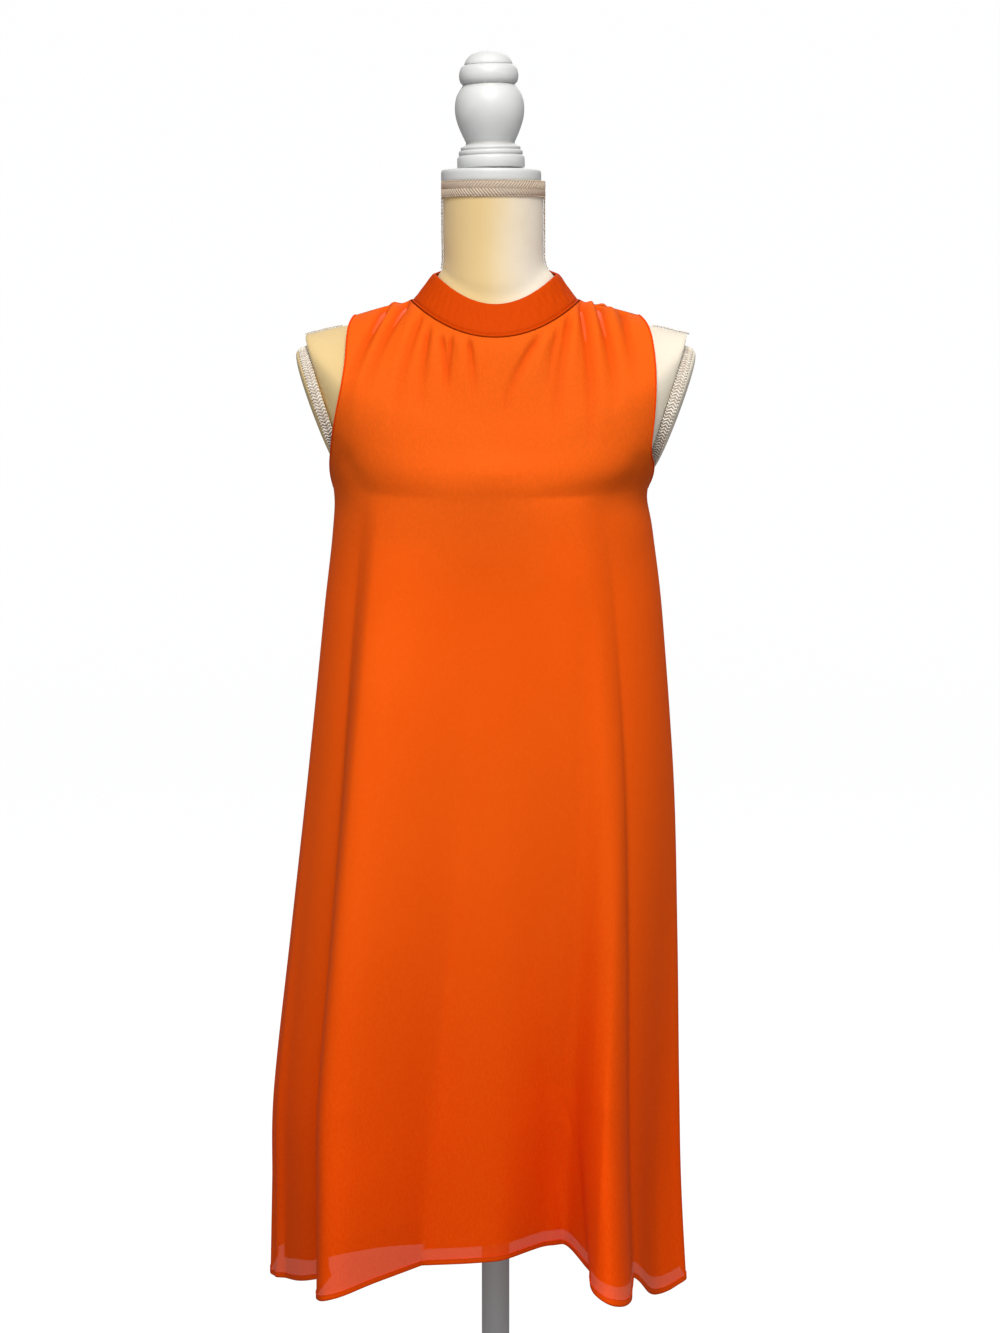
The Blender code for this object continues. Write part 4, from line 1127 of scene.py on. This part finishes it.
def make_gimp_braid(name, tree, path, out, half_width, finishes, closed=False):
    """Herringbone gimp: a dark core, two rows of slanted cords, and a looped edge each side."""
    core, thread = finishes
    side = np.cross(out, runs_along(path, closed))
    side /= np.linalg.norm(side, axis=1, keepdims=True)
    out = out / np.linalg.norm(out, axis=1, keepdims=True)
    reach = side * half_width * TAPE_SHARE
    tape = np.stack([path + reach * share + out * lift * MM for share, lift in TAPE_SECTION])
    pieces = [grid_mesh("tape", tape, core, uv=False, closed=closed)]
    top = path + out * THREAD_LIFT
    if closed:
        top = np.concatenate((top, top[:1]))
        out = np.concatenate((out, out[:1]))
    for way in (1, -1):
        slanted = {"Length": half_width * CORD_LENGTH, "Slant": way * CORD_SLANT}
        slanted["Shift"] = way * half_width * CORD_SHIFT
        looped = {"Slant": way * LOOP_SLANT, "Shift": way * half_width * LOOP_SHIFT}
        for sizes in ({**CORD, **slanted}, {**LOOP, **looped}):
            pieces.append(beads(tree, top, out, GIMP_PITCH, thread, closed, **sizes))
    return joined(name, pieces)


# ---------------------------------------------------------------- the form and stand


def turned(name, profile, sides, finish, place):
    """A piece turned about Z from its profile in millimetres, its hollows marked as grooves."""
    outline = np.array(profile, float) * MM
    before = outline[1:-1] - outline[:-2]
    after = outline[2:] - outline[1:-1]
    hollow = before[:, 0] * after[:, 1] - before[:, 1] * after[:, 0]
    hollow /= np.linalg.norm(before, axis=1) * np.linalg.norm(after, axis=1)
    # how far each hollow is a groove, which the paint darkens as painted shade
    groove = np.concatenate(((0,), np.clip(hollow * 1.6, 0, 1), (0,)))
    made = bmesh.new()
    mark = made.verts.layers.float.new("groove")
    rings = []
    for (radius, height), depth in zip(outline, groove):
        count = 1 if radius == 0 else sides
        angles = [2 * math.pi * i / sides for i in range(count)]
        rings.append([made.verts.new((radius * math.cos(a), radius * math.sin(a), height)) for a in angles])
        for vertex in rings[-1]:
            vertex[mark] = depth
    for upper, lower in zip(rings, rings[1:]):
        for i in range(sides):
            around = ((upper, i), (lower, i), (lower, i + 1), (upper, i + 1))
            corners = [edge[j % len(edge)] for edge, j in around]
            made.faces.new(list(dict.fromkeys(corners)))
    bmesh.ops.recalc_face_normals(made, faces=made.faces)
    made.transform(place)
    mesh = bpy.data.meshes.new(name)
    made.to_mesh(mesh)
    made.free()
    mesh.materials.append(finish)
    mesh.shade_smooth()
    mesh.set_sharp_from_angle(angle=math.radians(58))
    return put(name, mesh)


def make_body(finish):
    """The padded body under its jersey, cut flat where the arm plates sit."""
    places = np.linspace(0, len(FORM) - 1, TORSO_ROWS)
    turns = np.linspace(-math.pi, math.pi, TORSO_COLUMNS, endpoint=False)
    place, turn = np.meshgrid(places, turns, indexing="ij")
    grid = ring(FORM, place, turn) - ring_normal(FORM, place, turn) * TORSO_INSET
    height = grid[..., 2] - NECK_POINT_HEIGHT
    lean = (np.maximum(height, PLATE_SEAT_FOOT) - PLATE_TOP_Z) * PLATE_LEAN
    lean += np.maximum(PLATE_SEAT_FOOT - height, 0)
    grid[..., 0] = np.clip(grid[..., 0], -PLATE_TOP_X["left"] - lean, PLATE_TOP_X["right"] + lean)
    bottom = grid[-1:] * (0.9, 0.9, 1) - (0, 0, TORSO_FOOT)
    grid = np.concatenate((grid, bottom))
    body = grid_mesh("jersey_body", grid, finish, uv=False, closed=True)
    close_up(body.data)
    body.data.set_sharp_from_angle(angle=math.radians(60))
    return body


def plate_place(side, label):
    """The frame of an arm plate: Z out of the plate, X up along it."""
    lean = math.atan(PLATE_LEAN)
    out = Vector((side * math.cos(lean), 0, -math.sin(lean)))
    up = Vector((side * math.sin(lean), 0, math.cos(lean)))
    x = PLATE_TOP_X[label] + (PLATE_CENTRE_Z - PLATE_TOP_Z) * PLATE_LEAN
    centre = Vector((side * x, PLATE_CENTRE_Y, NECK_POINT_HEIGHT + PLATE_CENTRE_Z)) + out * SEAM_GAP
    frame = Matrix((up, out.cross(up), out)).transposed().to_4x4()
    return Matrix.Translation(centre) @ frame


def raise_crown(mesh, place):
    """Slides a plate's crown up its face, furthest at its fullest point."""
    back = place.inverted()
    for vertex in mesh.vertices:
        point = back @ vertex.co
        point.x += PLATE_CROWN_RISE * (max(0, point.z - PLATE_RIM) / PLATE_BULGE) ** 2
        vertex.co = place @ point


def make_plate(label, side, tree, jersey, gimp):
    """An arm plate covered in jersey, and the gimp braid round its rim."""
    radius = PLATE_HALF_DEPTH / MM
    rim = PLATE_RIM / MM
    bulge = PLATE_BULGE / MM
    crown = [(radius * math.cos(a), rim + bulge * math.sin(a)) for a in np.radians(np.linspace(90, 6, 15))]
    crown[0] = (0, rim + bulge)
    profile = crown + [(radius, rim - 0.6), (radius, 0.6), (radius - 0.6, 0.1), (0, 0.1)]
    stretch = Matrix.Diagonal((PLATE_HALF_HEIGHT / PLATE_HALF_DEPTH, 1, 1, 1))
    place = plate_place(side, label)
    plate = turned("jersey_plate_" + label, profile, 72, jersey, place @ stretch)
    raise_crown(plate.data, place)
    angles = np.linspace(0, 2 * math.pi, 120, endpoint=False)
    middle = sum(PLATE_BRAID_EDGES) / 2
    tall = (PLATE_HALF_HEIGHT + SEAM_GAP) * np.cos(angles)
    deep = (PLATE_HALF_DEPTH + SEAM_GAP) * np.sin(angles)
    path = np.array([place @ Vector((x, y, middle)) for x, y in zip(tall, deep)])
    turn_only = place.to_3x3()
    facing = np.stack((np.cos(angles) * PLATE_HALF_DEPTH, np.sin(angles) * PLATE_HALF_HEIGHT), axis=-1)
    out = np.array([turn_only @ Vector((x, y, 0)).normalized() for x, y in facing])
    half_width = (PLATE_BRAID_EDGES[0] - PLATE_BRAID_EDGES[1]) / 2
    braid = make_gimp_braid("gimp_armhole_" + label, tree, path, out, half_width, gimp, closed=True)
    return plate, braid


def form_path(places, turns):
    """A path over the padded body, with the way it faces."""
    place, turn = np.broadcast_arrays(np.asarray(places, float), np.asarray(turns, float))
    out = ring_normal(FORM, place, turn)
    return ring(FORM, place, turn) + out * (2 * SEAM_GAP - TORSO_INSET), out


def make_form_braids(tree, gimp):
    """Gimp round the neck's top, down the neck's sides and along the outer shoulders."""
    turns = np.linspace(-math.pi, math.pi, 120, endpoint=False)
    path, out = form_path(sum(NECK_BRAID) / 2, turns)
    drop = NECK_BRAID[1] * (FORM[0] - FORM[1])[SIDE_Z]
    pieces = {"neck_braid": make_gimp_braid("gimp_neck_top", tree, path, out, drop / 2, gimp, True)}
    for node, run in (("neck_side_braid_", NECK_SIDE_BRAID), ("shoulder_braid_", SHOULDER_BRAID)):
        for side, label in ((-1, "left"), (1, "right")):
            path, out = form_path(np.linspace(*run, 40), side * math.pi / 2)
            name = "gimp_" + node.replace("_braid_", "_") + label
            pieces[node + label] = make_gimp_braid(name, tree, path, out, BRAID_WIDTH * 0.42, gimp)
    return pieces


def make_stand(paint):
    """The cap and finial on the neck, and the socket, pole and base below the body."""
    neck_top = FORM[0]
    centre_y = (neck_top[FRONT_Y] + neck_top[BACK_Y]) / 2
    height = neck_top[SIDE_Z] + SEAM_GAP
    cap = turned("turned_cap", CAP_PROFILE, 96, paint, Matrix.Translation((CAP_SHIFT, centre_y, height)))
    lift = SEAM_GAP + FINIAL_PROFILE[-2][0] * MM * math.sin(FINIAL_LEAN)
    seat = Matrix.Translation((CAP_SHIFT, centre_y, height + CAP_HEIGHT + lift))
    lean = Matrix.Rotation(-FINIAL_LEAN, 4, "Y")
    finial = turned("turned_finial", FINIAL_PROFILE, 80, paint, seat @ lean)
    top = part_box("stand_socket")[1].z
    socket = turned("turned_socket", SOCKET_PROFILE, 72, paint, Matrix.Translation((0, 0, top)))
    low, high = (value / MM for value in POLE_SPAN)
    radius = POLE_RADIUS / MM
    steps = [(radius, high + (low - high) * share) for share in np.linspace(0, 1, 24)]
    pole = turned("turned_pole", [(0, high), *steps, (0, low)], 48, paint, Matrix.Identity(4))
    base = turned("turned_base", BASE_PROFILE, 128, paint, Matrix.Identity(4))
    return {"neck_cap": cap, "finial": finial, "stand_socket": socket, "stand_pole": pole, "stand_base": base}


# ---------------------------------------------------------------- fastening and stitches


def button_seat(place):
    """Where a covered button sits on the band, and the way it faces."""
    normal = Vector(ring_normal(DRESS, place, BUTTON_TURN))
    ease = np.interp(place, (BAND_TOP_PLACE, SEAM_PLACE), BAND_EASE)
    return Vector(ring(DRESS, place, BUTTON_TURN)) + normal * (ease + BAND_WALL + 2 * SEAM_GAP), normal


def make_button(number, place, finish, thread):
    """A covered button, and the thread loop that holds it from the other end of the band."""
    seat, normal = button_seat(place)
    facing = normal.to_track_quat("Z", "Y").to_matrix().to_4x4()
    radius, height = BUTTON_RADIUS / MM, BUTTON_HEIGHT / MM
    angles = np.radians(np.linspace(90, 0, 9))
    dome = [(radius * math.cos(a), height * (0.25 + 0.75 * math.sin(a))) for a in angles]
    dome[0] = (0, height)
    profile = dome + [(radius * 0.98, height * 0.12), (radius * 0.86, 0), (0, 0)]
    button = turned("covered_button_%d" % number, profile, 32, finish, Matrix.Translation(seat) @ facing)
    turns = np.linspace(0, math.pi, 24)
    across = Vector(ring(DRESS, place, math.pi - 0.02)) - Vector(ring(DRESS, place, BUTTON_TURN))
    across.normalize()
    up = normal.cross(across)
    loop = []
    for a in turns:
        behind = LOOP_REACH * (1 - math.sin(a)) - BUTTON_RADIUS * LOOP_SHARE * math.sin(a)
        aside = math.cos(a) * (BUTTON_RADIUS + LOOP_CLEARANCE)
        loop.append(seat + normal * LOOP_RADIUS + across * behind + up * aside)
    return button, tube_mesh("button_loop_%d" % number, loop, LOOP_RADIUS, thread)


STITCH = {"Length": 1.9 * MM, "Width": 0.35 * MM, "Height": 0.3 * MM, "Unevenness": 0.06}
STITCH_PITCH = 2.5 * MM
STITCH_LIFT = 0.75 * MM


def stitch_rows(tree, grids, thread):
    """Straight stitching along the edge of each hem's turning."""
    pieces = {}
    for cut_name, grid in grids.items():
        out = curve_normals(grid)[-HEM_ROWS]
        row = beads(tree, grid[-HEM_ROWS] + out * STITCH_LIFT, out, STITCH_PITCH, thread, **STITCH)
        row.name = "hem_stitches_" + cut_name
        pieces[row.name] = row
    return pieces


def make_armhole_edges(grids, finish):
    """The narrow turned edges of the armholes, front and back of each as one cord of cloth."""
    front, right, left = (grids[name][:YOKE_ROWS] for name in ("front", "back_right", "back_left"))
    pairs = {"left": (front[:, 0], left[:, -1]), "right": (front[:, -1], right[:, 0])}
    edges = {}
    for label, (ahead, behind) in pairs.items():
        path = np.concatenate((ahead, behind[::-1]))
        edges[label] = tube_mesh("armhole_edge_" + label, path, ARMHOLE_EDGE_RADIUS, finish)
    return edges


# ---------------------------------------------------------------- camera, light, stage

Lamp = namedtuple("Lamp", "name place target size power")
LAMPS = (
    Lamp("key", (0.05, -1.4, 2.95), (0, -0.05, 1.1), 1.0, 56),
    Lamp("low_fill", (0, -2.4, 0.6), (0, 0, 0.7), 1.2, 6.0),
    Lamp("left_fill", (-2.0, -1.2, 2.0), (0, 0, 1.2), 1.1, 6.5),
    Lamp("right_fill", (2.0, -1.2, 2.0), (0, 0, 1.2), 1.1, 6.5),
    Lamp("back", (0.3, 2.4, 2.6), (0, 0, 1.0), 1.8, 16),
)
WARM = (1.0, 0.99, 0.97)  # the key's colour
WORLD_COLOUR = (0.9, 0.92, 0.95, 1)
WORLD_STRENGTH = 0.3
STAGE_RADIUS = 6.0
STAGE_CURVE = 1.6
STAGE_WALL = 4.2
STAGE_SIDES = 96


def make_camera():
    camera = bpy.data.cameras.new("camera")
    camera.sensor_fit = "VERTICAL"
    camera.sensor_height = SENSOR_HEIGHT
    camera.lens = CAMERA_LENS
    camera.clip_end = 40
    view = put("camera", camera)
    view.location = CAMERA_PLACE
    view.rotation_euler = (math.pi / 2 - CAMERA_DOWN, 0, 0)
    bpy.context.scene.camera = view


def make_lamp(lamp):
    light = bpy.data.lights.new(lamp.name, "AREA")
    light.shape = "DISK"
    light.size = lamp.size
    light.energy = lamp.power
    light.color = WARM if lamp.name == "key" else (1, 1, 1)
    made = put(lamp.name, light)
    made.location = lamp.place
    made.rotation_euler = (Vector(lamp.target) - Vector(lamp.place)).to_track_quat("-Z", "Y").to_euler()
    made.visible_camera = False


def make_studio(backdrop):
    """Soft light from above the camera, paler fills, and a round pale stage."""
    for lamp in LAMPS:
        make_lamp(lamp)
    world = bpy.data.worlds.new("studio")
    world.use_nodes = True
    sky = world.node_tree.nodes["Background"].inputs
    sky["Color"].default_value = WORLD_COLOUR
    sky["Strength"].default_value = WORLD_STRENGTH
    bpy.context.scene.world = world
    angles = np.linspace(0, math.pi / 2, 12)
    rise = [(STAGE_RADIUS + STAGE_CURVE * math.sin(a), STAGE_CURVE * (1 - math.cos(a))) for a in angles]
    profile = [(0, 0), (STAGE_RADIUS / 2, 0), *rise, (STAGE_RADIUS + STAGE_CURVE, STAGE_WALL)]
    turns = np.linspace(-math.pi, math.pi, STAGE_SIDES, endpoint=False)
    rings = [(r * np.cos(turns), r * np.sin(turns), np.full(STAGE_SIDES, z)) for r, z in profile]
    grid = np.stack([np.stack(edge, axis=-1) for edge in rings])
    stage = grid_mesh("studio_stage", grid[::-1], backdrop, uv=False, closed=True)
    stage.visible_diffuse = False
    stage.visible_glossy = False
    bpy.context.scene.view_settings.view_transform = "Standard"
    bpy.context.scene.view_settings.look = "None"


# ---------------------------------------------------------------- putting it together

# The flat cuts, as width and length in metres, and their area.
Cloth = namedtuple("Cloth", "width length area")


def finish_piece(piece, slot, *nodes):
    """A finished piece rides on the one body and stands for its solids; its slot is not used."""
    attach(piece, "root")
    if nodes:
        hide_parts(*nodes)


def main():
    for old in list(bpy.data.objects):
        bpy.data.objects.remove(old, do_unlink=True)
    make_camera()
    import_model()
    shades = (CHIFFON, CHIFFON_PALE, CHIFFON_DEEP)
    chiffon = make_chiffon("orange_chiffon_cloth", CHIFFON_ALPHA, shades, CHIFFON_PAINTED_HEM_SHADE, CHIFFON_CHEST_PAINTED_LIGHT)
    # the band's cloth is darker partly as doubled chiffon and partly as painted shade
    band_cloth = make_chiffon("orange_chiffon_folded", 1.0, (BAND, BAND_PALE, BAND_DEEP))
    firm_chiffon = make_chiffon("orange_chiffon_doubled", 1.0, (DOUBLED, DOUBLED_PALE, DOUBLED_DEEP))
    lining = make_lining_cloth()
    jersey = make_jersey()
    gimp = (make_gimp_core(), make_gimp())
    paint = make_paint()
    thread = make_thread()
    make_studio(make_backdrop())
    tree = bead_tree()

    finish_piece(make_body(jersey), "cream_jersey", "torso")
    for side, label in ((-1, "left"), (1, "right")):
        plate, braid = make_plate(label, side, tree, jersey, gimp)
        finish_piece(plate, "cream_jersey", "arm_plate_" + label)
        finish_piece(braid, "pale_gimp_braid", "armhole_braid_" + label)
    for node, piece in make_form_braids(tree, gimp).items():
        finish_piece(piece, "pale_gimp_braid", node)
    for node, piece in make_stand(paint).items():
        finish_piece(piece, "white_paint", node)

    grids, panels, hems = {}, {}, {}
    for cut in panel_cuts():
        panels[cut.name], hems[cut.name], grids[cut.name] = make_chiffon_panel(cut, chiffon, firm_chiffon)
        finish_piece(panels[cut.name], "orange_chiffon", cut.name + "_panel")
        finish_piece(hems[cut.name], "orange_chiffon")
        inside = make_lining_panel(cut, lining)
        finish_piece(inside, "orange_lining", cut.name + "_lining")
    stitches = stitch_rows(tree, grids, thread)
    # The armhole's turned edge is darker partly because it is doubled cloth and partly painted shade, standing
    # for the thin shadow line along the armhole's edge.
    edge_cloth_with_painted_shade = make_chiffon("orange_chiffon_turned", 1.0, (DOUBLED_DEEP, DOUBLED, CREASE_AND_EDGE_PAINTED_SHADE))
    edges = make_armhole_edges(grids, edge_cloth_with_painted_shade)
    for piece in (*stitches.values(), *edges.values()):
        finish_piece(piece, "orange_chiffon")
    band = make_neckband(band_cloth)
    finish_piece(band, "orange_chiffon", "neckband")
    for number, place in enumerate(BUTTON_PLACES, 1):
        button, loop = make_button(number, place, band_cloth, thread)
        finish_piece(button, "orange_chiffon", "neck_button_%d" % number)
        finish_piece(loop, "orange_chiffon")


main()
